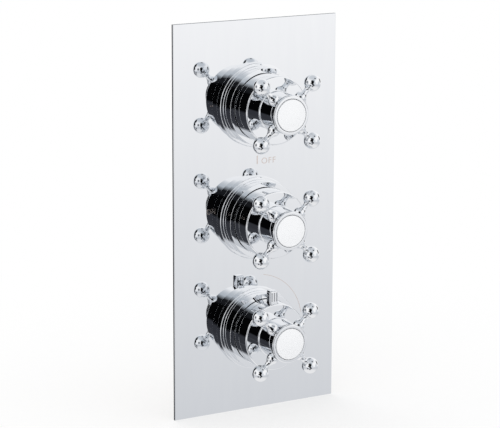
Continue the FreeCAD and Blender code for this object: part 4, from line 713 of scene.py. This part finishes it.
# ---- Cap rings -----------------------------------------------------------------------------
# A thin ring turned from brass and chrome plated, one to a handle. It screws into the end of
# the hub and holds the white cap by its flange.

ring_neck, ring_radius, ring_bore, flange_bore = 13.85, 14.6, 12.25, 13.0
ring_foot, flange_roof, ring_back, ring_front = 49.1, 50.5, 50.8, 52.7
ring_line = rounded([
    (flange_bore, ring_foot, 0), (ring_neck, ring_foot, 0), (ring_neck, ring_back, 0),
    (ring_radius, ring_back, 0.15), (ring_radius, ring_front, 0.9), (ring_bore, ring_front, 0.2),
    (ring_bore, flange_roof, 0), (flange_bore, flange_roof, 0),
])
for place_name, (level, body) in HANDLES.items():
    ring = turned(place_name + "_cap_ring", ring_line,
                  [PLATE_FRONT @ Matrix.Translation((0, 0, level)) @ AHEAD],
                  body, polished_chrome)
    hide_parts(place_name + "_bezel")

# ---- Caps ----------------------------------------------------------------------------------
# Slightly domed buttons of white ceramic, blank, pressed, glazed and fired. Each lies on the
# hub, held by a flange under the ring.

glazed, tree = new_material("white_glazed_ceramic")
place = add(tree, "TexCoord").outputs["Object"]
# the glaze pools in soft ripples some 6 mm across, over a body with hardly visible specks
ripple = add(tree, "TexNoise", {"Vector": place, "Scale": 1000 / 9, "Detail": 1.5}).outputs["Fac"]
specks = add(tree, "TexNoise", {"Vector": place, "Scale": 1000 / 0.8, "Detail": 2.0}).outputs["Fac"]
cloud = add(tree, "MapRange", {"Value": specks, "From Min": 0.35, "From Max": 0.6}).outputs[0]
white = add(tree, "Mix", {0: cloud, 6: linear("#F8F9FB"), 7: linear("#FAFBFD")}, data_type="RGBA").outputs[2]
pooled = add(tree, "Bump", {"Height": ripple, "Strength": 0.05, "Distance": 0.15 * MM}).outputs[0]
add(tree, "OutputMaterial", {"Surface": add(tree, "BsdfPrincipled", {
    "Base Color": white, "Roughness": 0.06, "IOR": 1.5, "Normal": pooled}).outputs[0]})
cap_radius, cap_edge, cap_crown, crown_steps = 11.75, 53.3, 54.6, 14
flange_radius, flange_front = 12.9, 50.4
sphere = (cap_radius ** 2 + (cap_crown - cap_edge) ** 2) / 2 / (cap_crown - cap_edge)
# the last corner only gives the edge's rounding its slope towards the crown
cap_line = rounded([
    (0, ring_foot, 0), (flange_radius, ring_foot, 0.1), (flange_radius, flange_front, 0.1),
    (cap_radius, flange_front, 0), (cap_radius, cap_edge, 0.45), (0, cap_edge + 0.9, 0),
])[:-1]
rim_radius = cap_line[-1][0]
for step in range(1, crown_steps + 1):
    radius = max(0, rim_radius * (1 - step / crown_steps))
    cap_line.append((radius, cap_crown - sphere + math.sqrt(sphere ** 2 - radius ** 2)))
for place_name, (level, body) in HANDLES.items():
    cap = turned(place_name + "_glazed_cap", cap_line,
                 [PLATE_FRONT @ Matrix.Translation((0, 0, level)) @ AHEAD],
                 body, glazed)
    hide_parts(place_name + "_cap")

# ---- Stop ring and safety button -----------------------------------------------------------
# The stop ring stands still under the temperature drum. The button sits in a window at the top
# of the drum: a ribbed block of chromed plastic on a spring, pressed in to pass the warm limit.

finish(["temperature_stop_ring", "safety_button"], polished_chrome)
finish(["button_spring"], stainless)
